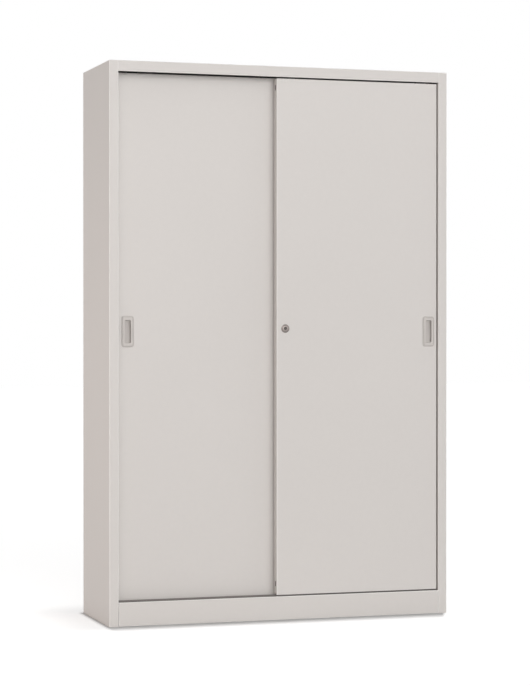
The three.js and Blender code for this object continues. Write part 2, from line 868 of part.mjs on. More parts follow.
const buildDoor = ({ hand, left, face, bottom, top, pullX, lockX }) => {
  const door = new THREE.Group();
  door.name = `${hand}_door`;
  door.position.set(left, face, bottom);
  const height = top - bottom;
  const pullZ = handleHeight - bottom;
  const lockZ = lockHeight - bottom;
  add(door, `${hand}_door_panel`, doorPanel(height, bottom, pullX, pullZ, lockX, lockZ), coatedSteel);
  add(door, `${hand}_door_lower_channel`, channelPiece(lowerChannelBottom, lowerChannelTop), zincSteel);
  const guidePlaces = [guideInset, doorWidth - guideInset];
  const slots = guidePlaces.map((x) => block(
    x - guideLength / 2 - looseFit,
    x + guideLength / 2 + looseFit,
    doorCentre - guideStemWidth / 2 - looseFit,
    doorCentre + guideStemWidth / 2 + looseFit,
    height - channelDrop / 2,
    height + cutOver,
  ));
  const upper = channelPiece(height - channelDrop, height, slots);
  add(door, `${hand}_door_upper_channel`, upper, zincSteel);
  const brace = stiffener(lowerChannelTop + looseFit, height - channelDrop - looseFit);
  add(door, `${hand}_door_stiffener`, brace, zincSteel);
  add(door, `${hand}_handle`, fingerPull(), mouldedGrey, pullX, 0, pullZ);
  const axleLevel = bottomRibTop + looseFit + rollerGroove - bottom;
  const bracketTop = lowerChannelTop - sheet - axleLevel;
  [bracketInset, doorWidth - bracketInset].forEach((x, i) => {
    const label = i === 0 ? 'left' : 'right';
    const bracketName = `${hand}_door_roller_bracket_${label}`;
    const rollerName = `${hand}_door_roller_${label}`;
    add(door, bracketName, rollerBracket(bracketTop), zincSteel, x, doorCentre, axleLevel);
    add(door, rollerName, rollerGeometry(), whiteNylon, x, doorCentre, axleLevel);
  });
  const stemTop = topTrackMouth + guideEngage - top;
  guidePlaces.forEach((x, i) => {
    const label = i === 0 ? 'left' : 'right';
    add(door, `${hand}_door_guide_${label}`, topGuide(stemTop), blackNylon, x, doorCentre, height);
  });
  cabinet.add(door);
  return door;
};

const rearDoor = buildDoor({
  hand: 'left',
  left: rearDoorLeft,
  face: rearDoorFace,
  bottom: rearDoorBottom,
  top: rearDoorTop,
  pullX: rearHandleInset,
});

const frontDoor = buildDoor({
  hand: 'right',
  left: frontDoorLeft,
  face: frontDoorFace,
  bottom: frontDoorBottom,
  top: frontDoorTop,
  pullX: doorWidth - frontHandleInset,
  lockX: lockInset,
});

// Lock set in the front door
const lockLevel = lockHeight - frontDoorBottom;
add(frontDoor, 'lock_body', lockBody(), nickel, lockInset, 0, lockLevel);
add(frontDoor, 'lock_nut', lockNut(), zincSteel, lockInset, 0, lockLevel);
add(frontDoor, 'key_cylinder', keyCylinder(), nickel, lockInset, 0, lockLevel);
add(frontDoor, 'lock_cam', lockCam(), zincSteel, lockInset, 0, lockLevel);
add(frontDoor, 'cam_screw', camScrew(), zincSteel, lockInset, 0, lockLevel);

// Striker on the rear door, with a tongue beside the raised cam
const strikerSheet = 1.5;
const strikerBackset = 2.3;
const strikerPlate = 18;
const strikerClear = 1.5;
const strikerRise = 10;
const strikerHeight = 26;
const lockCentre = frontDoorLeft + lockInset;
const tongueRight = lockCentre - camWidth / 2 - strikerBackset - rearDoorLeft;
const tongueTip = strikerClear - doorGap;
const strikerPath = [
  [tongueRight, tongueTip],
  [tongueRight, 0],
  [tongueRight - strikerPlate, 0],
];
const strikerBottom = lockHeight + camEye + strikerRise - rearDoorBottom;
const strikerShape = foldedSheet(strikerPath, strikerSheet);
const strikerTop = strikerBottom + strikerHeight;
add(rearDoor, 'lock_striker', prismUp(strikerShape, strikerBottom, strikerTop), zincSteel);

export default cabinet;
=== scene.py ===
import json
import math
import bmesh
import bpy
from mathutils import Matrix, Vector

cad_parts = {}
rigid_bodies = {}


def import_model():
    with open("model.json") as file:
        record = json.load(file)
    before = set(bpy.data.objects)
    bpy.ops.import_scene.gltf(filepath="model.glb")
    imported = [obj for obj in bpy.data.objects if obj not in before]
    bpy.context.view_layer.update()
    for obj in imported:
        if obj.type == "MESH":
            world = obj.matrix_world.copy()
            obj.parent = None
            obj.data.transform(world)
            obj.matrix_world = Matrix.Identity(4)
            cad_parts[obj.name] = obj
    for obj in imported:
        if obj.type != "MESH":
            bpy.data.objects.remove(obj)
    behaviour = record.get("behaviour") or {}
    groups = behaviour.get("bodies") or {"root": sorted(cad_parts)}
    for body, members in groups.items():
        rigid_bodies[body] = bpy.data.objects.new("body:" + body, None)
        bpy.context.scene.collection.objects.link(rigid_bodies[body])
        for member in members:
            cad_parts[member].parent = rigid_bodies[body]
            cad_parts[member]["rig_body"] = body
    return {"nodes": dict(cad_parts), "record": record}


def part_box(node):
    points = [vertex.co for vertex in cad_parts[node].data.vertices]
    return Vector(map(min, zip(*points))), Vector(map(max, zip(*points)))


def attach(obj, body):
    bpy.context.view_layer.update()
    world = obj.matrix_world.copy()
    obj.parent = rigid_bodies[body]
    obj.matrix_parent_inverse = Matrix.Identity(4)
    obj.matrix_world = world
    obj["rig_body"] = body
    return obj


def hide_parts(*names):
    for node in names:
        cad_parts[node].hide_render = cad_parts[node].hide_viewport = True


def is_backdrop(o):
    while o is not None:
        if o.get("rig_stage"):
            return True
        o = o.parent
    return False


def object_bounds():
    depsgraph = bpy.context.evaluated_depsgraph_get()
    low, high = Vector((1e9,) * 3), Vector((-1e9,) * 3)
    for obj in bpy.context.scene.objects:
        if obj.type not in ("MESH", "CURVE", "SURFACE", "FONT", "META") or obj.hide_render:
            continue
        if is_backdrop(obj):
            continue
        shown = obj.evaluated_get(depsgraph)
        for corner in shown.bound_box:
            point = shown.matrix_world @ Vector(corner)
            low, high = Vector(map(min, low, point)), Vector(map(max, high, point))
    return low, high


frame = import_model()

cadLow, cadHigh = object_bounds()
slotOf = {part["node"]: part["material_slot"] for part in frame["record"]["subparts"]}
print("frame loaded,", len(slotOf), "solids")


# Finishes. Every pattern reads Object coordinates, in metres.
noiseSpan = (0.25, 0.75)    # where most of a noise pattern's values lie
tintSpan = (0.3, 0.7)       # noise values of the darkest and the lightest tint


def newFinish(name):
    finish = bpy.data.materials.new(name)
    finish.use_nodes = True
    tree = finish.node_tree
    return finish, tree, tree.nodes["Principled BSDF"]


def objectSpace(tree, stretch=(1, 1, 1), centre=(0, 0, 0)):
    coords = tree.nodes.new("ShaderNodeTexCoord")
    mapping = tree.nodes.new("ShaderNodeMapping")
    mapping.inputs["Scale"].default_value = stretch
    mapping.inputs["Location"].default_value = [-c * s for c, s in zip(centre, stretch)]
    tree.links.new(coords.outputs["Object"], mapping.inputs["Vector"])
    return mapping.outputs["Vector"]


def cloud(tree, space, scale, detail=2):
    noise = tree.nodes.new("ShaderNodeTexNoise")
    noise.inputs["Scale"].default_value = scale
    noise.inputs["Detail"].default_value = detail
    tree.links.new(space, noise.inputs["Vector"])
    return noise.outputs["Fac"]


def plainMath(tree, operation, first, second):
    # Each value is a number or the output of another node
    step = tree.nodes.new("ShaderNodeMath")
    step.operation = operation
    for slot, value in enumerate((first, second)):
        if isinstance(value, (int, float)):
            step.inputs[slot].default_value = value
        else:
            tree.links.new(value, step.inputs[slot])
    return step.outputs["Value"]


def vectorMath(tree, operation, vector):
    # The second vector, where the operation has one, is zero
    step = tree.nodes.new("ShaderNodeVectorMath")
    step.operation = operation
    tree.links.new(vector, step.inputs[0])
    return step.outputs


def remap(tree, source, fromSpan, toSpan=(0, 1), curve="LINEAR"):
    spread = tree.nodes.new("ShaderNodeMapRange")
    spread.interpolation_type = curve
    for name, value in zip(("From Min", "From Max", "To Min", "To Max"), (*fromSpan, *toSpan)):
        spread.inputs[name].default_value = value
    tree.links.new(source, spread.inputs["Value"])
    return spread.outputs["Result"]


def blend(tree, main, other, share):
    mix = tree.nodes.new("ShaderNodeMix")
    mix.inputs["Factor"].default_value = share
    tree.links.new(main, mix.inputs["A"])
    tree.links.new(other, mix.inputs["B"])
    return mix.outputs["Result"]


def colourMix(tree, share, main, other):
    # The share comes from a node, each colour from a node or a tuple
    mix = tree.nodes.new("ShaderNodeMix")
    mix.data_type = "RGBA"
    tree.links.new(share, mix.inputs["Factor"])
    for name, colour in (("A", main), ("B", other)):
        if isinstance(colour, tuple):
            mix.inputs[name].default_value = (*colour, 1)
        else:
            tree.links.new(colour, mix.inputs[name])
    return mix.outputs["Result"]


def tint(tree, source, look):
    ramp = tree.nodes.new("ShaderNodeValToRGB")
    dark, light = ramp.color_ramp.elements
    dark.position, light.position = tintSpan
    dark.color = [c * (1 - look["swing"]) for c in look["colour"]] + [1]
    light.color = [min(1, c * (1 + look["swing"])) for c in look["colour"]] + [1]
    tree.links.new(source, ramp.inputs["Fac"])
    return ramp.outputs["Color"]


def relief(tree, source, strength, depth, under=None):
    bump = tree.nodes.new("ShaderNodeBump")
    bump.inputs["Strength"].default_value = strength
    bump.inputs["Distance"].default_value = depth
    tree.links.new(source, bump.inputs["Height"])
    if under:
        tree.links.new(under, bump.inputs["Normal"])
    return bump.outputs["Normal"]


def dress(tree, shader, colour, rough, normal):
    for name, source in (("Base Color", colour), ("Roughness", rough), ("Normal", normal)):
        tree.links.new(source, shader.inputs[name])


def facing(tree):
    # How much the surface faces along X, Y and Z, whichever way
    geometry = tree.nodes.new("ShaderNodeNewGeometry")
    sides = tree.nodes.new("ShaderNodeSeparateXYZ")
    bare = vectorMath(tree, "ABSOLUTE", geometry.outputs["Normal"])
    tree.links.new(bare["Vector"], sides.inputs["Vector"])
    return sides.outputs


def foldHighlightShare(tree, look):
    # Painted highlight: nothing on the flats, most in the middle of a fold, where the colour is lightened
    sides = facing(tree)
    widest = plainMath(tree, "MAXIMUM", sides["X"], sides["Y"])
    widest = plainMath(tree, "MAXIMUM", widest, sides["Z"])
    return remap(tree, widest, look["foldHighlightSpan"], (0, look["foldHighlightShare"]))


def powderCoat(name, look):
    finish, tree, shader = newFinish(name)
    space = objectSpace(tree)
    drift = cloud(tree, space, look["driftScale"], 3)
    speckle = cloud(tree, space, look["speckleScale"], 4)
    full = tint(tree, blend(tree, drift, speckle, look["speckleShare"]), look)
    # The folds get a painted highlight, a paler colour mixed in by the fold's normal
    colour = colourMix(tree, foldHighlightShare(tree, look), full, look["foldHighlightColour"])
    rough = remap(tree, speckle, noiseSpan, look["rough"])
    peel = cloud(tree, space, look["peelScale"])
    peel = relief(tree, peel, look["peel"], look["peelDepth"])
    grain = cloud(tree, space, look["grainScale"])
    dress(tree, shader, colour, rough, relief(tree, grain, look["grain"], look["grainDepth"], peel))
    shader.inputs["Specular IOR Level"].default_value = look["gloss"]
    return finish


def rolledZinc(name, look):
    finish, tree, shader = newFinish(name)
    spangle = tree.nodes.new("ShaderNodeTexVoronoi")
    spangle.inputs["Scale"].default_value = look["spangleScale"]
    tree.links.new(objectSpace(tree), spangle.inputs["Vector"])
    cell = tree.nodes.new("ShaderNodeSeparateColor")
    tree.links.new(spangle.outputs["Color"], cell.inputs["Color"])
    streak = cloud(tree, objectSpace(tree, look["streak"]), look["streakScale"], 3)
    colour = tint(tree, blend(tree, streak, cell.outputs["Red"], look["spangleShare"]), look)
    rough = remap(tree, streak, noiseSpan, look["rough"])
    dress(tree, shader, colour, rough, relief(tree, streak, look["grain"], look["grainDepth"]))
    shader.inputs["Metallic"].default_value = 1.0
    return finish


def turnedNickel(name, look):
    finish, tree, shader = newFinish(name)
    space = objectSpace(tree, centre=look["axis"])
    rings = tree.nodes.new("ShaderNodeTexWave")
    rings.wave_type = "RINGS"
    rings.rings_direction = "Y"
    rings.inputs["Scale"].default_value = look["ringScale"]
    rings.inputs["Distortion"].default_value = look["ringWaver"]
    tree.links.new(space, rings.inputs["Vector"])
    wear = cloud(tree, space, look["wearScale"], 4)
    dress(tree, shader, tint(tree, wear, look), remap(tree, wear, noiseSpan, look["rough"]),
          relief(tree, rings.outputs["Fac"], look["grain"], look["grainDepth"]))
    shader.inputs["Metallic"].default_value = 1.0
    return finish


def recessShadeShare(tree, look):
    # Painted shade: darker in the hollow, by the piece's own depth attribute, and on steep sides
    depth = tree.nodes.new("ShaderNodeAttribute")
    depth.attribute_name = "depth"
    steepShade = remap(tree, facing(tree)["Y"], look["steepShadeSpan"], (0, look["steepShade"]))
    hollow = plainMath(tree, "MULTIPLY", depth.outputs["Fac"], look["hollow"])
    return plainMath(tree, "ADD", hollow, steepShade)


def mouldedGrain(name, look):
    finish, tree, shader = newFinish(name)
    space = objectSpace(tree)
    flow = cloud(tree, space, look["flowScale"], 3)
    colour = tint(tree, flow, look)
    # The recess and steep sides get a painted shade, a darker colour mixed in
    if "recessShade" in look:
        colour = colourMix(tree, recessShadeShare(tree, look), colour, look["recessShade"])
    pits = tree.nodes.new("ShaderNodeTexVoronoi")
    pits.feature = "SMOOTH_F1"
    pits.inputs["Scale"].default_value = look["grainScale"]
    tree.links.new(space, pits.inputs["Vector"])
    dress(tree, shader, colour, remap(tree, flow, noiseSpan, look["rough"]),
          relief(tree, pits.outputs["Distance"], look["grain"], look["grainDepth"]))
    return finish


lockLow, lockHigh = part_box("lock_body")
lockCentre = (lockLow + lockHigh) / 2
# The fold colour, share and span paint a highlight on the folds
coat = {"driftScale": 1.3, "speckleScale": 70, "speckleShare": 0.35, "swing": 0.018, "rough": (0.42, 0.5),
        "gloss": 0.5, "peelScale": 330, "peel": 0.16, "peelDepth": 0.00015, "grainScale": 2100, "grain": 0.1,
        "grainDepth": 0.00004, "foldHighlightColour": (0.9, 0.88, 0.86), "foldHighlightShare": 0.8, "foldHighlightSpan": (0.998, 0.96)}
moulding = {"swing": 0.02, "flowScale": 90, "grainScale": 900, "grainDepth": 0.0001}
finishes = {
    "coated_frame": powderCoat("frameCoat", {**coat, "colour": (0.665, 0.632, 0.605)}),
    "coated_door": powderCoat("doorCoat", {**coat, "colour": (0.667, 0.634, 0.608)}),
    "coated_shelf": powderCoat("shelfCoat", {**coat, "colour": (0.655, 0.622, 0.597), "peel": 0.2}),
    "moulded_grey": mouldedGrain("pullPlastic", {
        **moulding, "colour": (0.59, 0.553, 0.526), "flowScale": 40, "rough": (0.42, 0.5), "grainScale": 1500,
        # The darker colour below, with the hollow and steep shares, paints shade into the recess
        "grain": 0.12, "recessShade": (0.1, 0.08, 0.07), "hollow": 0.14, "steepShade": 0.4, "steepShadeSpan": (0.95, 0.5)}),
    # The tracks' dark coat also stands in for the shade in the trough under the doors: partly real colour,
    # partly painted shade
    "dark_track": powderCoat("trackCoat", {
        **coat, "colour": (0.18, 0.162, 0.152), "swing": 0.06, "foldHighlightColour": (0.2, 0.185, 0.175)}),
    # The near-black guides also stand in for the shade in the gap above the doors: partly real colour, partly
    # painted shade
    "black_nylon": mouldedGrain("guideNylon", {
        **moulding, "colour": (0.025, 0.024, 0.023), "swing": 0.15, "rough": (0.4, 0.52), "grain": 0.08}),
    "white_nylon": mouldedGrain("nylon", {
        **moulding, "colour": (0.78, 0.77, 0.73), "rough": (0.38, 0.48), "grain": 0.06}),
    "dark_rubber": mouldedGrain("rubber", {
        **moulding, "colour": (0.035, 0.034, 0.033), "swing": 0.2, "flowScale": 160, "rough": (0.7, 0.85),
        "grainScale": 1800, "grain": 0.3}),
    "zinc_steel": rolledZinc("zincSheet", {
        "colour": (0.60, 0.60, 0.585), "swing": 0.08, "spangleScale": 160, "spangleShare": 0.3,
        "streak": (1, 1, 0.06), "streakScale": 420, "rough": (0.34, 0.48), "grain": 0.15,
        "grainDepth": 0.00005}),
    "nickel": turnedNickel("lockNickel", {
        "colour": (0.215, 0.19, 0.178), "swing": 0.06, "axis": lockCentre, "ringScale": 900, "ringWaver": 1.5,
        "wearScale": 500, "rough": (0.32, 0.4), "grain": 0.12, "grainDepth": 0.00003}),
}
print("finishes ready")


# Shaping tools for folded sheet, turned and moulded pieces
snug = 0.0003       # gap between pieces that touch or slide
past = 0.001        # how far a cut reaches past a piece
skin = 0.0004       # how far a cut through a bare face reaches to either side of it
touching = 1e-6     # points nearer than this are one
closeBy = 1e-5      # and points nearer than this are on one line or level
bridgeLift = 1e-4   # how far a loop is lifted while it's bridged
softAngle = 40      # edges sharper than this many degrees are rounded
foldSteps = 5       # faces around a fold
upright3 = {
    "x": Matrix(((0, 0, 1), (1, 0, 0), (0, 1, 0))),
    "y": Matrix.Rotation(math.pi / 2, 3, "X"),
    "z": Matrix.Identity(3),
}


def spot(axis, u, v, w):
    return Vector({"x": (w, u, v), "y": (u, w, v), "z": (u, v, w)}[axis])


def vertsOf(parts):
    return [part for part in parts if isinstance(part, bmesh.types.BMVert)]


def rounded(bm, geom, radius, steps, affect):
    bmesh.ops.bevel(bm, geom=geom, offset=radius, offset_type="OFFSET", segments=steps, profile=0.5,
                    affect=affect, material=-1)


def unitSquare(bm):
    return bmesh.ops.create_grid(bm, x_segments=1, y_segments=1, size=0.5)["verts"]


def standAt(bm, verts, axis, place):
    bmesh.ops.rotate(bm, verts=verts, cent=(0, 0, 0), matrix=upright3[axis])
    bmesh.ops.translate(bm, verts=verts, vec=place)


def handed(path, hand):
    # A path drawn for the left side runs the other way on the right
    return path if hand < 0 else path[::-1]


def channelPath(low, high):
    # Up the back, forward along the top and down the front
    return [(high.y, low.z), (high.y, high.z), (low.y, high.z), (low.y, low.z)]


def foldSheet(bm, path, axis, low, high, fold, steps=foldSteps):
    # The outer face follows the path and the metal lies on the path's left
    wire = [bm.verts.new(spot(axis, u, v, low)) for u, v in path]
    known = set(bm.edges)
    for pair in zip(wire, wire[1:]):
        bm.edges.new(pair)
    rounded(bm, wire[1:-1], fold, steps, "VERTICES")
    run = [edge for edge in bm.edges if edge not in known]
    made = bmesh.ops.extrude_edge_only(bm, edges=run)["geom"]
    faces = [part for part in made if isinstance(part, bmesh.types.BMFace)]
    bmesh.ops.translate(bm, verts=vertsOf(made), vec=spot(axis, 0, 0, high - low))
    bmesh.ops.recalc_face_normals(bm, faces=faces)
    start = spot(axis, *path[0], (low + high) / 2)
    first = min(faces, key=lambda face: (face.calc_center_median() - start).length)
    along = Vector(path[1]) - Vector(path[0])
    if first.normal.dot(spot(axis, along.y, -along.x, 0)) < 0:
        bmesh.ops.reverse_faces(bm, faces=faces)


def flatSheet(bm, axis, level, low, high, facingWay):
    # One flat face across the axis, from its low to its high corner
    verts = unitSquare(bm)
    face = verts[0].link_faces[0]
    bmesh.ops.scale(bm, verts=verts, vec=(high[0] - low[0], high[1] - low[1], 1))
    standAt(bm, verts, axis, spot(axis, (low[0] + high[0]) / 2, (low[1] + high[1]) / 2, level))
    face.normal_update()
    if face.normal.dot(spot(axis, 0, 0, facingWay)) < 0:
        bmesh.ops.reverse_faces(bm, faces=[face])


def touches(face, low, high):
    reach = [[vert.co[a] for vert in face.verts] for a in range(3)]
    return all(min(r) <= high[a] and max(r) >= low[a] for a, r in enumerate(reach))


def cutAway(bm, low, high):
    # Cuts the sheet along a box's sides and takes out what lies inside it
    for a in range(3):
        for level in (low[a], high[a]):
            normal = Vector([1.0 if a == b else 0.0 for b in range(3)])
            near = [face for face in bm.faces if touches(face, low, high)]
            parts = set(near)
            for face in near:
                parts.update(face.edges)
                parts.update(face.verts)
            bmesh.ops.bisect_plane(bm, geom=list(parts), plane_co=normal * level, plane_no=normal,
                                   dist=touching / 10)
    inside = []
    for face in bm.faces:
        centre = face.calc_center_median()
        if all(low[a] < centre[a] < high[a] for a in range(3)):
            inside.append(face)
    bmesh.ops.delete(bm, geom=inside, context="FACES")


def roundLoop(bm, axis, centre, width, height, radius, steps=6):
    # Round-cornered loop of edges across the axis
    known = set(bm.edges)
    corners = unitSquare(bm)
    bmesh.ops.scale(bm, verts=corners, vec=(width, height, 1))
    rounded(bm, corners, radius, steps, "VERTICES")
    loop = [edge for edge in bm.edges if edge not in known]
    face = loop[0].link_faces[0]
    standAt(bm, list(face.verts), axis, centre)
    bmesh.ops.delete(bm, geom=[face], context="FACES_ONLY")
    return loop


def roundWindow(bm, axis, centre, width, height, radius, margin=0.002):
    # A hole with round corners: a plain window first, then a bridge from its rim to the loop
    across = spot(axis, width / 2 + margin, height / 2 + margin, skin)
    low, high = centre - across, centre + across
    sheetNormal = next(face.normal.copy() for face in bm.faces if touches(face, low, high))
    cutAway(bm, low, high)
    rim = []
    for edge in bm.edges:
        ends = [vert.co for vert in edge.verts]
        if edge.is_boundary and all(low[a] - closeBy < end[a] < high[a] + closeBy
                                    for end in ends for a in range(3)):
            rim.append(edge)
    # A bridge between level loops can twist, so the round one is lifted until it's made
    lift = spot(axis, 0, 0, bridgeLift)
    loop = roundLoop(bm, axis, centre + lift, width, height, radius)
    raised = {vert for edge in loop for vert in edge.verts}
    made = bmesh.ops.bridge_loops(bm, edges=rim + loop)["faces"]
    bmesh.ops.translate(bm, verts=list(raised), vec=-lift)
    for face in made:
        face.normal_update()
    wrong = [face for face in made if face.normal.dot(sheetNormal) < 0]
    if wrong:
        bmesh.ops.reverse_faces(bm, faces=wrong)


def loft(bm, axis, rings):
    # Closed shell through round-cornered rings: centre, width, height, radius, no two on one level
    loops = [roundLoop(bm, axis, *ring) for ring in rings]
    for near, far in zip(loops, loops[1:]):
        bmesh.ops.bridge_loops(bm, edges=near + far)
    for end in (loops[0], loops[-1]):
        bmesh.ops.edgeloop_fill(bm, edges=end)


def turn(bm, profile, centre, steps, closed=False):
    # Spins a profile of radius and depth about the Y direction through the centre
    wire = [bm.verts.new(centre + Vector((radius, depth, 0))) for radius, depth in profile]
    pairs = list(zip(wire, wire[1:])) + ([(wire[-1], wire[0])] if closed else [])
    edges = [bm.edges.new(pair) for pair in pairs]
    bmesh.ops.spin(bm, geom=wire + edges, cent=centre, axis=(0, 1, 0), dvec=(0, 0, 0), angle=2 * math.pi,
                   steps=steps, use_merge=True, use_normal_flip=False, use_duplicate=False)


def tidyShell(bm):
    bmesh.ops.remove_doubles(bm, verts=bm.verts, dist=touching)
    bmesh.ops.recalc_face_normals(bm, faces=bm.faces)


def block(bm, low, high):
    size = Vector(high) - Vector(low)
    place = Matrix.Translation((Vector(low) + Vector(high)) / 2) @ Matrix.Diagonal((*size, 1))
    bmesh.ops.create_cube(bm, size=1.0, matrix=place)


def openPan(low, high):
    # A block without its underside
    bm = bmesh.new()
    block(bm, low, high)
    floor = min(bm.faces, key=lambda face: face.calc_center_median().z)
    bmesh.ops.delete(bm, geom=[floor], context="FACES_ONLY")
    return bm


def turnCrownUp(bm):
    bmesh.ops.recalc_face_normals(bm, faces=bm.faces)
    if max(bm.faces, key=lambda face: face.calc_area()).normal.z < 0:
        bmesh.ops.reverse_faces(bm, faces=bm.faces)


def extrudeOutline(bm, outline, axis, low, high):
    face = bm.faces.new([bm.verts.new(spot(axis, u, v, low)) for u, v in outline])
    made = bmesh.ops.extrude_face_region(bm, geom=[face])["geom"]
    bmesh.ops.translate(bm, verts=vertsOf(made), vec=spot(axis, 0, 0, high - low))


def addPiece(name, bm, nodes, sheet=0.0, edge=0.0002, rounds=2, trim=None):
    # A trim has a slot of its own, rides with the first node and stands in for none
    for face in bm.faces:
        face.smooth = True
    mesh = bpy.data.meshes.new(name)
    bm.to_mesh(mesh)
    bm.free()
    piece = bpy.data.objects.new(name, mesh)
    bpy.context.scene.collection.objects.link(piece)
    slot = trim or slotOf[nodes[0]]
    mesh.materials.append(finishes[slot])
    if sheet:
        wall = piece.modifiers.new("sheet", "SOLIDIFY")
        wall.thickness = sheet
        wall.offset = -1
        wall.use_even_offset = True
    if edge:
        soft = piece.modifiers.new("softEdges", "BEVEL")
        soft.width = edge
        soft.segments = rounds
        soft.limit_method = "ANGLE"
        soft.angle_limit = math.radians(softAngle)
    shade = piece.modifiers.new("evenShading", "WEIGHTED_NORMAL")
    shade.keep_sharp = True
    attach(piece, frame["nodes"][nodes[0]]["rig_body"])
    if not trim:
        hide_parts(*nodes)


def addFolded(name, node, path, axis, fold, sheet, steps=foldSteps):
    # A sheet folded along the path and as long as its node
    low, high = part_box(node)
    reach = {"x": (low.x, high.x), "z": (low.z, high.z)}[axis]
    bm = bmesh.new()
    foldSheet(bm, path, axis, *reach, fold, steps)
    addPiece(name, bm, [node], sheet)


def addTurned(name, node, profile, centre, steps, closed=False, edge=0.0, trim=None):
    bm = bmesh.new()
    turn(bm, profile, centre, steps, closed)
    tidyShell(bm)
    addPiece(name, bm, [node], edge=edge, trim=trim)


# Cabinet shell
shell = {"sheet": 0.001, "fold": 0.0025, "rearFlange": 0.020, "pillarDepth": 0.087, "lipGap": 0.0025,
         "weldFlange": 0.018}
topLow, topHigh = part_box("top_panel")
roofLine = topHigh.z - shell["fold"]


def sidePanel(name, node, hand):
    low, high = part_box(node)
    outer, inner = (low.x, high.x) if hand < 0 else (high.x, low.x)
    front, back = low.y, high.y
    pillar = front + shell["pillarDepth"]
    path = [(outer - hand * shell["rearFlange"], back), (outer, back), (outer, front), (inner, front),
            (inner, pillar), (outer - hand * shell["lipGap"], pillar)]
    bm = bmesh.new()
    foldSheet(bm, handed(path, hand), "z", 0, roofLine, shell["fold"])
    near, far = sorted((outer - hand * shell["weldFlange"], outer - hand * shell["sheet"]))
    rest = ((near, pillar + shell["lipGap"]), (far, back - shell["rearFlange"]))
    flatSheet(bm, "z", 0, *rest, -1)
    flatSheet(bm, "z", roofLine, *rest, 1)
    addPiece(name, bm, [node], shell["sheet"])


sidePanel("sidePanelLeft", "left_side_panel", -1)
sidePanel("sidePanelRight", "right_side_panel", 1)

roof = {"railLip": 0.008, "rearFlange": 0.020, "rearCut": 0.010, "besideStile": 0.0012}


def roofPanel():
    # A drawn pan whose walls stay only as the front rail and the rear flange
    bm = openPan(topLow, topHigh)
    rounded(bm, [edge for edge in bm.edges if not edge.is_boundary], shell["fold"], foldSteps, "EDGES")
    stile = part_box("left_side_panel")[1].x - roof["besideStile"]
    flange = topLow.x + shell["rearFlange"] + snug
    rear = topHigh.y - roof["rearCut"]
    for hand in (1, -1):
        for edge, front, back in ((stile, topLow.y - past, rear), (flange, rear, topHigh.y + past)):
            xs = sorted((hand * (topLow.x - past), hand * edge))
            cutAway(bm, (xs[0], front, topLow.z - past), (xs[1], back, roofLine))
    cutAway(bm, (topLow.x, rear, topLow.z - past),
            (topHigh.x, topHigh.y + past, topHigh.z - roof["rearFlange"]))
    mouth = [edge for edge in bm.edges if edge.is_boundary
             and all(abs(vert.co.z - topLow.z) < closeBy for vert in edge.verts)]
    lip = bmesh.ops.extrude_edge_only(bm, edges=mouth)["geom"]
    bmesh.ops.translate(bm, verts=vertsOf(lip), vec=(0, roof["railLip"], 0))
    rounded(bm, [edge for edge in mouth if len(edge.link_faces) == 2], shell["fold"], foldSteps, "EDGES")
    turnCrownUp(bm)
    addPiece("roofPanel", bm, ["top_panel"], shell["sheet"])


roofPanel()

plinth = {"topLip": 0.0032, "floorLip": 0.015}
low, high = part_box("front_plinth")
stileInner = high.x
path = [(low.y + plinth["topLip"], high.z), (low.y, high.z), (low.y, low.z),
        (low.y + plinth["floorLip"], low.z)]
addFolded("frontPlinth", "front_plinth", path, "x", shell["fold"], shell["sheet"])

low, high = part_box("rear_plinth")
path = [(high.y - plinth["floorLip"], low.z), (high.y, low.z), (high.y, high.z)]
addFolded("rearPlinth", "rear_plinth", path, "x", shell["fold"], shell["sheet"])

bottom = {"fold": 0.0018, "rearCut": 0.0015}
low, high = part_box("bottom_panel")
bm = bmesh.new()
foldSheet(bm, channelPath(low, high), "x", low.x, high.x, bottom["fold"])
behindPillar = topLow.y + shell["pillarDepth"] + snug
for side in (-1, 1):
    xs = sorted((side * stileInner, side * (high.x + past)))
    for front, back in ((low.y - past, behindPillar), (high.y - bottom["rearCut"], high.y + past)):
        cutAway(bm, (xs[0], front, low.z - past), (xs[1], back, high.z + past))
addPiece("bottomPanel", bm, ["bottom_panel"], shell["sheet"])

for side in ("left", "right"):
    low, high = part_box(f"back_panel_{side}")
    bm = bmesh.new()
    flatSheet(bm, "y", high.y, (low.x, low.z), (high.x, high.z), 1)
    addPiece(f"backSheet{side.title()}", bm, [f"back_panel_{side}"], shell["sheet"])

strip = {"foot": 0.009, "fold": 0.0018}
low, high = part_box("back_joint_strip")
crown, near, far = low.y + shell["sheet"], high.x - strip["foot"], low.x + strip["foot"]
path = [(high.x, high.y), (near, high.y), (near, crown), (far, crown), (far, high.y), (low.x, high.y)]
addFolded("backJointStrip", "back_joint_strip", path, "z", strip["fold"], shell["sheet"])
print("shell folded")


# Tracks, stop buffers and the slotted uprights
track = {"base": 0.001, "ribWidth": 0.002, "fold": 0.0015, "ribEdge": 0.0004, "ribRounds": 3}
for label in ("front", "rear"):
    low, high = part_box(f"{label}_bottom_track")
    middle, half = (low.y + high.y) / 2, track["ribWidth"] / 2
    step = low.z + track["base"]
    bm = bmesh.new()
    extrudeOutline(bm, [(low.y, low.z), (high.y, low.z), (high.y, step), (middle + half, step),
                        (middle + half, high.z), (middle - half, high.z), (middle - half, step),
                        (low.y, step)], "x", low.x, high.x)
    tidyShell(bm)
    addPiece(f"{label}RunningRail", bm, [f"{label}_bottom_track"], edge=track["ribEdge"],
             rounds=track["ribRounds"])
    node = f"{label}_top_track"
    addFolded(f"{label}GuideChannel", node, channelPath(*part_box(node)), "x", track["fold"], shell["sheet"])

buffer = {"edge": 0.0012, "rounds": 4}
for side in ("left", "right"):
    bm = bmesh.new()
    block(bm, *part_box(f"{side}_stop_buffer"))
    addPiece(f"stopBuffer{side.title()}", bm, [f"{side}_stop_buffer"], **buffer)

post = {"sheet": 0.0012, "fold": 0.002, "slot": (0.003, 0.014), "firstSlot": 0.040, "pitch": 0.060,
        "rows": 30, "edge": 0.0001}


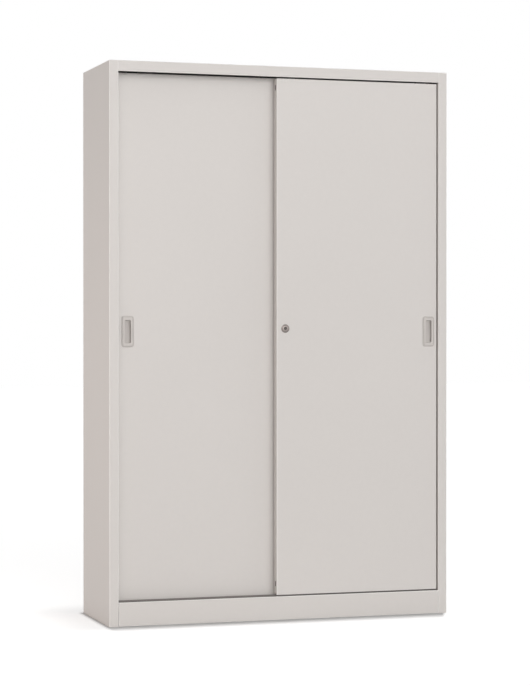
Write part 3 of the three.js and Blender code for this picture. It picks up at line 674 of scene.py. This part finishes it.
def slottedPost(place, side, hand):
    low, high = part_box(f"{place}_upright_{side}")
    wall, web = (low.x, high.x) if hand < 0 else (high.x, low.x)
    path = [(wall, low.y), (web, low.y), (web, high.y), (wall, high.y)]
    bm = bmesh.new()
    foldSheet(bm, handed(path, hand), "z", low.z, high.z, post["fold"])
    middle = (low.y + high.y) / 2
    width, height = post["slot"]
    for row in range(post["rows"]):
        base = low.z + post["firstSlot"] + row * post["pitch"]
        cutAway(bm, (web - skin, middle - width / 2, base), (web + skin, middle + width / 2, base + height))
    addPiece(f"{place}Post{side.title()}", bm, [f"{place}_upright_{side}"], post["sheet"], edge=post["edge"])


for place in ("front", "rear"):
    slottedPost(place, "left", -1)
    slottedPost(place, "right", 1)
print("tracks and posts set")


# Shelves with closed corners, each on two hooked rails
shelf = {"count": 4, "sheet": 0.001, "fold": 0.0022, "foldSteps": 4, "lip": 0.010}
rail = {"sheet": 0.001, "fold": 0.0016, "foldSteps": 4, "hook": 0.0016, "hookRoot": 0.0005, "neck": 0.006,
        "noseDrop": 0.006, "neckDrop": 0.018, "behind": 0.0015, "reach": 0.004}


def shelfTray(name, node):
    low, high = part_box(node)
    bm = openPan(low, high)
    mouth = [edge for edge in bm.edges
             if edge.is_boundary and abs(edge.verts[0].co.y - edge.verts[1].co.y) < touching]
    for edge in mouth:
        inward = shelf["lip"] if edge.verts[0].co.y < (low.y + high.y) / 2 else -shelf["lip"]
        made = bmesh.ops.extrude_edge_only(bm, edges=[edge])["geom"]
        bmesh.ops.translate(bm, verts=vertsOf(made), vec=(0, inward, 0))
    turnCrownUp(bm)
    rounded(bm, [edge for edge in bm.edges if len(edge.link_faces) == 2], shelf["fold"],
            shelf["foldSteps"], "EDGES")
    addPiece(name, bm, [node], shelf["sheet"])


def shelfBearer(name, node, side, hand, level):
    low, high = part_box(node)
    postLow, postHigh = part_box(f"front_upright_{side}")
    face = (postHigh.x if hand < 0 else postLow.x) - hand * snug
    reach = high.x if hand < 0 else low.x
    neck = level - rail["neckDrop"]
    neckTop = neck + rail["neck"]
    path = [(face, neckTop + 2 * rail["sheet"]), (face, low.z), (reach, low.z)]
    bm = bmesh.new()
    foldSheet(bm, handed(path, hand), "y", low.y, high.y, rail["fold"], rail["foldSteps"])
    bmesh.ops.solidify(bm, geom=bm.faces[:], thickness=rail["sheet"])
    tidyShell(bm)
    root = face - hand * rail["hookRoot"]
    slotBack = face + hand * (rail["behind"] + snug)
    tip = slotBack + hand * rail["reach"]
    nose = neck - rail["noseDrop"]
    outline = [(root, neck), (slotBack, neck), (slotBack, nose), ((slotBack + tip) / 2, nose), (tip, neck),
               (tip, neckTop), (root, neckTop)]
    for place in ("front", "rear"):
        postLow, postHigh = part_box(f"{place}_upright_{side}")
        middle = (postLow.y + postHigh.y) / 2
        extrudeOutline(bm, outline, "y", middle - rail["hook"] / 2, middle + rail["hook"] / 2)
    bmesh.ops.recalc_face_normals(bm, faces=bm.faces)
    addPiece(name, bm, [node])


for index in range(1, shelf["count"] + 1):
    shelfTray(f"shelfTray{index}", f"shelf_{index}")
    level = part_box(f"shelf_{index}")[1].z
    for side, hand in (("left", -1), ("right", 1)):
        shelfBearer(f"shelfBearer{side.title()}{index}", f"shelf_rail_{side}_{index}", side, hand, level)
print("shelves hung")


# Doors
door = {"sheet": 0.001, "fold": 0.0025, "backLip": 0.014, "slot": (0.009, 0.018), "slotRound": 0.0015,
        "slotMargin": 0.001, "upperSlot": 0.0225, "lowerSlot": 0.0294, "plugSink": 0.0003, "plugThick": 0.003,
        "notchHalf": 0.0073, "notchTop": 0.091, "channelFold": 0.0018, "braceHalf": 0.030,
        "braceCrown": 0.018, "braceRise": 0.015, "lockHole": (0.0196, 0.0196, 0.00979)}
pull = {"bezel": (0.0435, 0.1085, 0.009), "proud": 0.002, "recess": (0.022, 0.080, 0.005), "deep": 0.011,
        "draft": 0.0016, "cup": (0.026, 0.084, 0.007), "cupDraft": 0.0006, "rim": 0.0006, "lipRound": 0.0004,
        "lip": 0.0026, "edge": 0.0008, "ease": 0.3, "groove": 0.0015, "grooveDeep": 0.0015, "hair": 0.00002}
wheel = {"bore": 0.0028, "radius": 0.0125, "groove": 0.0105, "width": 0.008, "grooveHalf": 0.0015,
         "taper": 0.001, "soft": 0.0006, "hubWall": 0.003, "rimWall": 0.003, "hollow": 0.0006, "steps": 48,
         "edge": 0.0002}
cheek = {"sheet": 0.0015, "fold": 0.0022, "foldSteps": 4, "round": 0.005, "roundSteps": 5, "axle": 0.0025,
         "head": 0.004, "headThick": 0.0015, "headEdge": 0.0005, "headSink": 0.0002, "steps": 32}
guide = {"foot": 0.003, "footHalf": 0.007, "footRound": 0.003, "stemHalf": 0.004, "stemLength": 0.036,
         "stemRound": 0.0035, "stemSunk": 0.001, "taper": 0.0015, "tipRound": 0.0025, "edge": 0.0004}


def slotSpots(low, high):
    # Centres of the hanging slots in a door's side flanges, with the direction into the door
    middle, height = (low.y + high.y) / 2, door["slot"][1]
    for edge, inward in ((low.x, 1), (high.x, -1)):
        for base in (low.z + door["lowerSlot"], high.z - door["upperSlot"] - height):
            yield Vector((edge, middle, base + height / 2)), inward


def doorSkin(hand):
    low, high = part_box(f"{hand}_door_panel")
    bm = bmesh.new()
    foldSheet(bm, [(low.x + door["backLip"], high.y), (low.x, high.y), (low.x, low.y), (high.x, low.y),
                   (high.x, high.y), (high.x - door["backLip"], high.y)], "z", low.z, high.z, door["fold"])
    middle, half, top = (low.y + high.y) / 2, door["notchHalf"], door["notchTop"]
    for edge in (low.x, high.x):
        cutAway(bm, (edge - skin, middle - half, low.z - past), (edge + skin, middle + half, top))
    for centre, _ in slotSpots(low, high):
        roundWindow(bm, "x", centre, *door["slot"], door["slotRound"], door["slotMargin"])
    pullLow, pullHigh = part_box(f"{hand}_handle")
    centre = (pullLow + pullHigh) / 2
    centre.y = low.y
    width, height, radius = pull["cup"]
    roundWindow(bm, "y", centre, width + 2 * snug, height + 2 * snug, radius + snug)
    if hand == "right":
        roundWindow(bm, "y", Vector((lockCentre.x, low.y, lockCentre.z)), *door["lockHole"])
    addPiece(f"{hand}DoorSkin", bm, [f"{hand}_door_panel"], door["sheet"])


def slotPlugs(hand):
    # Black plugs that close the hanging slots
    bm = bmesh.new()
    for centre, inward in slotSpots(*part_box(f"{hand}_door_panel")):
        steps = [Vector((inward * depth, 0, 0)) for depth in (door["plugSink"], door["plugThick"])]
        loft(bm, "x", [(centre + step, *door["slot"], door["slotRound"]) for step in steps])
    tidyShell(bm)
    addPiece(f"{hand}DoorPlugs", bm, [f"{hand}_door_panel"], edge=0, trim="dark_rubber")


def doorChannels(hand):
    for level in ("lower", "upper"):
        node = f"{hand}_door_{level}_channel"
        low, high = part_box(node)
        bm = bmesh.new()
        foldSheet(bm, channelPath(low, high), "x", low.x, high.x, door["channelFold"])
        if level == "upper":
            half, deep = guide["stemLength"] / 2 + snug, guide["stemHalf"] + snug
            for side in ("left", "right"):
                guideLow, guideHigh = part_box(f"{hand}_door_guide_{side}")
                x, y = (guideLow.x + guideHigh.x) / 2, (guideLow.y + guideHigh.y) / 2
                cutAway(bm, (x - half, y - deep, high.z - skin), (x + half, y + deep, high.z + skin))
        addPiece(f"{hand}Door{level.title()}Channel", bm, [node], door["sheet"])


def doorBrace(hand):
    low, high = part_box(f"{hand}_door_stiffener")
    middle = (low.x + high.x) / 2
    outer, crown, deep = door["braceHalf"], door["braceCrown"], low.y + door["braceRise"]
    path = [(middle - outer, low.y), (middle - crown, low.y), (middle - crown, deep), (middle + crown, deep),
            (middle + crown, low.y), (middle + outer, low.y)]
    addFolded(f"{hand}DoorBrace", f"{hand}_door_stiffener", path, "z", door["channelFold"], door["sheet"])


def fingerPull(hand):
    low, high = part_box(f"{hand}_handle")
    x, z, face = (low.x + high.x) / 2, (low.z + high.z) / 2, low.y + pull["proud"]
    rim, soft, edge, ease = pull["rim"], pull["lipRound"], pull["edge"], pull["ease"]

    def ring(depth, outline, inset=0.0):
        width, height, radius = pull[outline]
        return Vector((x, face + depth, z)), width - 2 * inset, height - 2 * inset, radius - inset

    # Rings that would be level with the one before are a hair higher or lower, for the bridges' sake
    top, hair, bed = -pull["proud"], pull["hair"], pull["grooveDeep"] - pull["proud"]
    inner = pull["lip"] + pull["groove"]
    rings = [
        ring(pull["deep"], "recess", pull["draft"]),
        ring(top + rim, "recess"),
        ring(top + ease * rim, "recess", -ease * rim),
        ring(top, "recess", -rim),
        ring(top - hair, "bezel", inner + soft),
        ring(top + soft / 2, "bezel", inner),
        ring(bed, "bezel", inner - hair),
        ring(bed - hair, "bezel", pull["lip"]),
        ring(top + soft / 2, "bezel", pull["lip"] - hair),
        ring(top, "bezel", pull["lip"] - soft),
        ring(top - hair, "bezel", edge),
        ring(top + ease * edge, "bezel", ease * edge),
        ring(top + edge, "bezel"),
        ring(0, "bezel", hair),
        ring(hair, "cup"),
        ring(high.y - face, "cup", pull["cupDraft"]),
    ]
    bm = bmesh.new()
    loft(bm, "y", rings)
    tidyShell(bm)
    # The depth attribute sets how much painted shade the recess gets
    depth = bm.verts.layers.float.new("depth")
    across, up = pull["recess"][0] / 2 + rim, pull["recess"][1] / 2 + rim
    for vert in bm.verts:
        if abs(vert.co.x - x) < across and abs(vert.co.z - z) < up:
            vert[depth] = (vert.co.y - low.y) / (pull["deep"] + pull["proud"])
    addPiece(f"{hand}FingerPull", bm, [f"{hand}_handle"], edge=0)


def doorRoller(hand, side):
    low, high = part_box(f"{hand}_door_roller_{side}")
    half, soft, sunk = wheel["width"] / 2, wheel["soft"], wheel["hollow"] - wheel["width"] / 2
    rim, groove, flat = wheel["radius"], wheel["groove"], wheel["grooveHalf"]
    hub, web = wheel["bore"] + wheel["hubWall"], rim - wheel["rimWall"]
    profile = [(wheel["bore"], -half), (hub, -half), (hub + soft, sunk), (web, sunk), (web + soft, -half),
               (rim - soft, -half), (rim, soft - half), (rim, -flat - wheel["taper"]), (groove, -flat)]
    profile += [(radius, -depth) for radius, depth in reversed(profile)]
    addTurned(f"{hand}DoorWheel{side.title()}", f"{hand}_door_roller_{side}", profile, (low + high) / 2,
              wheel["steps"], closed=True, edge=wheel["edge"])


def rollerBracket(hand, side):
    node = f"{hand}_door_roller_bracket_{side}"
    low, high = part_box(node)
    wheelLow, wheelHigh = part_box(f"{hand}_door_roller_{side}")
    centre = (wheelLow + wheelHigh) / 2
    outer = (high.y - low.y) / 2 - cheek["headThick"]
    bm = bmesh.new()
    foldSheet(bm, [(centre.y + outer, low.z), (centre.y + outer, high.z), (centre.y - outer, high.z),
                   (centre.y - outer, low.z)], "x", low.x, high.x, cheek["fold"], cheek["foldSteps"])
    corners = [vert for vert in bm.verts if abs(vert.co.z - low.z) < touching]
    rounded(bm, corners, cheek["round"], cheek["roundSteps"], "VERTICES")
    bmesh.ops.solidify(bm, geom=bm.faces[:], thickness=cheek["sheet"])
    tidyShell(bm)
    axle, head, edge = cheek["axle"], cheek["head"], cheek["headEdge"]
    under, reach = outer - cheek["headSink"], outer + cheek["headThick"]
    turn(bm, [(0, -reach), (head - edge, -reach), (head, edge - reach), (head, -under), (axle, -under),
              (axle, under), (head, under), (head, reach - edge), (head - edge, reach), (0, reach)],
         centre, cheek["steps"])
    tidyShell(bm)
    addPiece(f"{hand}WheelFork{side.title()}", bm, [node])


def topGuide(hand, side):
    low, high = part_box(f"{hand}_door_guide_{side}")
    x, y, footTop = (low.x + high.x) / 2, (low.y + high.y) / 2, low.z + guide["foot"]
    long, deep, taper = guide["stemLength"], 2 * guide["stemHalf"], guide["taper"]
    foot = (high.x - low.x, 2 * guide["footHalf"], guide["footRound"])
    stem = (long, deep, guide["stemRound"])
    tip = (long - 2 * taper, deep - taper, guide["tipRound"])
    bm = bmesh.new()
    for rings in ([(low.z, foot), (footTop, foot)],
                  [(footTop - guide["stemSunk"], stem), (high.z - taper, stem), (high.z, tip)]):
        loft(bm, "z", [(Vector((x, y, level)), *size) for level, size in rings])
    tidyShell(bm)
    addPiece(f"{hand}TopGuide{side.title()}", bm, [f"{hand}_door_guide_{side}"], edge=guide["edge"])


for hand in ("left", "right"):
    doorSkin(hand)
    slotPlugs(hand)
    doorChannels(hand)
    doorBrace(hand)
    fingerPull(hand)
    for side in ("left", "right"):
        doorRoller(hand, side)
        rollerBracket(hand, side)
        topGuide(hand, side)
print("doors hung")


# Lock and striker. The dome is drawn from its front, the flange around it from the door's face.
lock = {"proud": 0.0035, "barrel": 0.0095, "bore": 0.0058, "thread": 0.001, "threadDeep": 0.0005,
        "threadStart": 0.002, "steps": 56,
        "dome": [(0.0058, 0.001), (0.0063, 0.0003), (0.007, 0), (0.0098, 0.0001), (0.0107, 0.0007),
                 (0.0118, 0.0018), (0.0128, 0.0025)],
        "flange": [(0.0134, -0.001), (0.0146, -0.0008), (0.0151, -0.0004), (0.0152, 0)]}
plug = {"radius": 0.0055, "keyOuter": 0.0043, "keyPost": 0.0018, "keyDeep": 0.006, "edge": 0.0003,
        "tail": 0.006, "tailSunk": 0.002, "shadeRingSink": 0.0028, "shadeRingGap": 0.0001, "steps": 48}
cam = {"hub": (0.016, 0.016, 0.0079), "arm": (0.010, 0.0035), "armSunk": 0.0001, "edge": 0.0003}
screw = {"dimple": [(0, -0.0006), (0.0012, -0.0006), (0.0014, 0)],
         "crown": [(0.0008, 0), (0.0002, 0.0004), (0, 0.0008)],     # in from the head's edge and down
         "headThick": 0.0014, "shank": 0.0017, "steps": 32}
nut = {"holeSteps": 42, "edge": 0.0004}
striker = {"sheet": 0.0015, "fold": 0.002, "foldSteps": 4, "screwHalf": 0.0075, "head": 0.003,
           "headThick": 0.0014,
           "headShape": [(0, -0.6), (0.4, -0.6), (0.5, -1), (0.8, -0.8), (1, -0.3), (1, 0.1), (0, 0.1)],
           "steps": 24}


def atLock(y):
    return Vector((lockCentre.x, y, lockCentre.z))


def lockBody():
    low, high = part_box("lock_body")
    proud, root = lock["proud"], lock["barrel"] - lock["threadDeep"]
    end = high.y - low.y - proud
    profile = [(radius, depth - proud) for radius, depth in lock["dome"]] + lock["flange"]
    profile.append((lock["barrel"], 0))
    depth = lock["threadStart"]
    while depth + lock["thread"] < end:
        profile += [(root, depth), (lock["barrel"], depth + lock["thread"] / 2)]
        depth += lock["thread"]
    profile += [(root, end), (lock["bore"], end)]
    addTurned("lockRosette", "lock_body", profile, atLock(low.y + proud), lock["steps"], closed=True)


def keyPlug():
    low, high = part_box("key_cylinder")
    centre = atLock(low.y)
    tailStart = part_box("lock_cam")[0].y - snug
    end, edge, half = tailStart - low.y, plug["edge"], plug["tail"] / 2
    radius, post, outer, deep = plug["radius"], plug["keyPost"], plug["keyOuter"], plug["keyDeep"]
    profile = [(0, 0), (post - edge, 0), (post, edge), (post, deep), (outer, deep), (outer, edge),
               (outer + edge, 0), (radius - edge, 0), (radius, edge), (radius, end), (0, end)]
    bm = bmesh.new()
    turn(bm, profile, centre, plug["steps"])
    block(bm, (lockCentre.x - half, tailStart - plug["tailSunk"], lockCentre.z - half),
          (lockCentre.x + half, high.y, lockCentre.z + half))
    tidyShell(bm)
    addPiece("keyPlug", bm, ["key_cylinder"], edge=0)
    # A dark ring in the keyway paints the shade of its hollow
    near, far, sunk = post + plug["shadeRingGap"], outer - plug["shadeRingGap"], plug["shadeRingSink"]
    profile = [(near, sunk), (far, sunk), (far, 2 * sunk), (near, 2 * sunk)]
    addTurned("keywayShade", "key_cylinder", profile, centre, plug["steps"], closed=True, trim="dark_rubber")


def camArm():
    low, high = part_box("lock_cam")
    run, sunk = high.x - lockCentre.x, cam["armSunk"]
    middle = Vector((run / 2, 0, 0))
    bm = bmesh.new()
    loft(bm, "y", [(atLock(y), *cam["hub"]) for y in (low.y, high.y)])
    loft(bm, "y", [(atLock(y) + middle, run, *cam["arm"]) for y in (low.y + sunk, high.y - sunk)])
    tidyShell(bm)
    addPiece("camArm", bm, ["lock_cam"], edge=cam["edge"])


def camScrew():
    low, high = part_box("cam_screw")
    head, thick, shank, end = (high.x - low.x) / 2, screw["headThick"], screw["shank"], low.y - high.y
    profile = screw["dimple"] + [(head - inset, -drop) for inset, drop in screw["crown"]]
    profile += [(head, -thick), (shank, -thick), (shank, end), (0, end)]
    addTurned("camFixing", "cam_screw", profile, atLock(high.y), screw["steps"])


def lockNut():
    low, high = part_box("lock_nut")
    bm = bmesh.new()
    hexagon = bmesh.ops.create_circle(bm, segments=6, radius=(high.z - low.z) / 2)["verts"]
    outer = bm.edges[:]
    hole = bmesh.ops.create_circle(bm, segments=nut["holeSteps"], radius=lock["barrel"] + snug)["verts"]
    inner = [edge for edge in bm.edges if edge not in outer]
    verts = hexagon + hole
    bmesh.ops.rotate(bm, verts=verts, cent=(0, 0, 0), matrix=Matrix.Rotation(math.pi / 2, 3, "Z"))
    standAt(bm, verts, "y", atLock(low.y))
    bmesh.ops.bridge_loops(bm, edges=outer + inner)
    made = bmesh.ops.extrude_face_region(bm, geom=bm.faces[:])["geom"]
    bmesh.ops.translate(bm, verts=vertsOf(made), vec=(0, high.y - low.y, 0))
    tidyShell(bm)
    addPiece("clampNut", bm, ["lock_nut"], edge=nut["edge"])


def strikerPlate():
    low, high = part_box("lock_striker")
    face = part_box("left_door_panel")[0].y
    addFolded("strikerPlate", "lock_striker", [(high.x, low.y), (high.x, face), (low.x, face)], "z",
              striker["fold"], striker["sheet"], striker["foldSteps"])
    bm = bmesh.new()
    middle = (low + high) / 2
    head = [(r * striker["head"], d * striker["headThick"]) for r, d in striker["headShape"]]
    for side in (-1, 1):
        place = Vector((middle.x, face - striker["sheet"], middle.z + side * striker["screwHalf"]))
        turn(bm, head, place, striker["steps"])
    tidyShell(bm)
    addPiece("strikerScrews", bm, ["lock_striker"], edge=0, trim="zinc_steel")


lockBody()
keyPlug()
camArm()
camScrew()
lockNut()
strikerPlate()
print("lock fitted")


# Studio: white paper, even sky, broad suns given by bearing and height in degrees, and soft boxes.
# The shade at the foot is painted on the paper and ends sooner to a side with more haste: left, right, front,
# back.
studio = {"floorSize": 60, "floorDrop": 0.0002, "floorColour": 0.8, "footShadowColour": 0.6, "floorLift": 0.64,
          "shadeSpan": (0.002, 0.142), "nearHaste": (6, 7, 1, 12), "wideHaste": (0.5, 7, 1, 0.5),
          "wideShare": 0.25, "skew": 0.415, "short": 0.02, "sky": 0.362, "sunSpread": 40,
          "warm": (1, 0.86, 0.785)}
suns = {
    "leftKey": {"strength": 0.6, "bearing": -12, "height": 5},
    "frontKey": {"strength": 0.623, "bearing": 5, "height": 5},
    "rightKey": {"strength": 0.512, "bearing": 20, "height": 5},
    "rightFill": {"strength": 0.541, "bearing": 80, "height": 5},
    "leftUpper": {"strength": 0.082, "bearing": -10, "height": 25},
    "rightUpper": {"strength": 0.166, "bearing": 20, "height": 25},
}
boxes = {
    "sideBox": {"power": 18.2, "size": 1.6, "place": (-3.2, 0, 0.8), "aim": (-0.6, 0, 0.8)},
    "cornerBox": {"power": 10.3, "size": 1.4, "place": (-3.2, -3.6, 1), "aim": (-0.4, -0.2, 1)},
}


def seenRays(tree):
    # 1 for rays that the camera, a glossy face or glass sends out, 0 for light
    ray = tree.nodes.new("ShaderNodeLightPath")
    seen = ray.outputs["Is Camera Ray"]
    for other in ("Is Glossy Ray", "Is Transmission Ray"):
        seen = plainMath(tree, "MAXIMUM", seen, ray.outputs[other])
    return seen


def fromFoot(tree, spans, haste):
    # 0 at the cabinet's foot, 1 at the end of the shade
    left, right, front, back = [plainMath(tree, "MULTIPLY", span, pace)
                                for span, pace in zip(spans, haste)]
    away = tree.nodes.new("ShaderNodeCombineXYZ")
    tree.links.new(plainMath(tree, "MAXIMUM", left, right), away.inputs["X"])
    tree.links.new(plainMath(tree, "MAXIMUM", front, back), away.inputs["Y"])
    outside = vectorMath(tree, "MAXIMUM", away.outputs["Vector"])
    distance = vectorMath(tree, "LENGTH", outside["Vector"])
    return remap(tree, distance["Value"], studio["shadeSpan"], curve="SMOOTHSTEP")


def awayFromFoot(tree):
    # In front of the cabinet the shade's right end runs askew and stops short of the corner
    coords = tree.nodes.new("ShaderNodeTexCoord")
    parts = tree.nodes.new("ShaderNodeSeparateXYZ")
    tree.links.new(coords.outputs["Object"], parts.inputs["Vector"])
    x, y, skew = parts.outputs["X"], parts.outputs["Y"], studio["skew"]
    corner = cadHigh.x - cadLow.y * skew - studio["short"]
    askew = plainMath(tree, "SUBTRACT", x, plainMath(tree, "MULTIPLY", y, skew))
    askew = plainMath(tree, "SUBTRACT", askew, corner)
    beside = plainMath(tree, "SUBTRACT", x, cadHigh.x)
    spans = [
        plainMath(tree, "SUBTRACT", cadLow.x, x),
        plainMath(tree, "MAXIMUM", askew, beside),
        plainMath(tree, "SUBTRACT", cadLow.y, y),
        plainMath(tree, "SUBTRACT", y, cadHigh.y),
    ]
    near = fromFoot(tree, spans, studio["nearHaste"])
    wide = fromFoot(tree, spans, studio["wideHaste"])
    return blend(tree, near, wide, studio["wideShare"])


def studioFloor():
    bm = bmesh.new()
    bmesh.ops.create_grid(bm, x_segments=1, y_segments=1, size=studio["floorSize"] / 2)
    mesh = bpy.data.meshes.new("studioFloor")
    bm.to_mesh(mesh)
    bm.free()
    floor = bpy.data.objects.new("studioFloor", mesh)
    floor.location.z = -studio["floorDrop"]
    bpy.context.scene.collection.objects.link(floor)
    finish, tree, shader = newFinish("studioPaper")
    away = awayFromFoot(tree)
    # The paper's colour darkens toward the foot: a painted contact shadow
    paper = colourMix(tree, away, (studio["footShadowColour"],) * 3, (studio["floorColour"],) * 3)
    tree.links.new(paper, shader.inputs["Base Color"])
    shader.inputs["Roughness"].default_value = 1.0
    shader.inputs["Specular IOR Level"].default_value = 0.0
    # The white lift fades toward the foot too, which deepens the same painted shadow
    lift = plainMath(tree, "MULTIPLY", away, studio["floorLift"])
    glow = tree.nodes.new("ShaderNodeEmission")
    tree.links.new(plainMath(tree, "MULTIPLY", seenRays(tree), lift), glow.inputs["Strength"])
    both = tree.nodes.new("ShaderNodeAddShader")
    tree.links.new(shader.outputs[0], both.inputs[0])
    tree.links.new(glow.outputs[0], both.inputs[1])
    tree.links.new(both.outputs[0], tree.nodes["Material Output"].inputs["Surface"])
    mesh.materials.append(finish)
    floor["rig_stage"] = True


def studioSky():
    # Seen as plain white, and less bright as a light
    world = bpy.data.worlds.new("studioSky")
    bpy.context.scene.world = world
    world.use_nodes = True
    tree = world.node_tree
    even = tree.nodes["Background"]
    white = tree.nodes.new("ShaderNodeBackground")
    for back, strength in ((even, studio["sky"]), (white, 1.0)):
        back.inputs["Color"].default_value = (1, 1, 1, 1)
        back.inputs["Strength"].default_value = strength
    mix = tree.nodes.new("ShaderNodeMixShader")
    tree.links.new(seenRays(tree), mix.inputs["Fac"])
    tree.links.new(even.outputs[0], mix.inputs[1])
    tree.links.new(white.outputs[0], mix.inputs[2])
    tree.links.new(mix.outputs[0], tree.nodes["World Output"].inputs["Surface"])


def placeLamp(name, lamp, place, source):
    holder = bpy.data.objects.new(name, lamp)
    holder.location = place
    holder.rotation_euler = Vector(source).to_track_quat("Z", "Y").to_euler()
    holder.visible_camera = False
    bpy.context.scene.collection.objects.link(holder)


def towards(bearing, height):
    # A direction by its bearing from +Y toward +X and its height, both in degrees
    bearing, height = math.radians(bearing), math.radians(height)
    return Vector((math.sin(bearing) * math.cos(height), math.cos(bearing) * math.cos(height),
                   math.sin(height)))


def softSun(name, look):
    lamp = bpy.data.lights.new(name, "SUN")
    lamp.energy = look["strength"]
    lamp.angle = math.radians(studio["sunSpread"])
    # A sun's bearing counts from -Y, the cabinet's front
    placeLamp(name, lamp, (0, 0, 0), towards(180 - look["bearing"], look["height"]))


def softBox(name, look):
    lamp = bpy.data.lights.new(name, "AREA")
    lamp.size = look["size"]
    lamp.energy = look["power"]
    lamp.color = studio["warm"]
    placeLamp(name, lamp, look["place"], Vector(look["place"]) - Vector(look["aim"]))


studioFloor()
studioSky()
for name, look in suns.items():
    softSun(name, look)
for name, look in boxes.items():
    softBox(name, look)

view = {"place": (-2.3803, -7.4356, 1.0241), "turn": 17.752, "tilt": -0.3615, "lens": 113.48, "sensor": 36,
        "reach": 200}
lens = bpy.data.cameras.new("photoCamera")
lens.lens = view["lens"]
lens.sensor_width = view["sensor"]
lens.clip_end = view["reach"]
camera = bpy.data.objects.new("photoCamera", lens)
camera.location = view["place"]
camera.rotation_euler = towards(view["turn"], view["tilt"]).to_track_quat("-Z", "Y").to_euler()
bpy.context.scene.collection.objects.link(camera)
bpy.context.scene.camera = camera
bpy.context.scene.view_settings.view_transform = "Standard"
print("studio lit")

low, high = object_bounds()
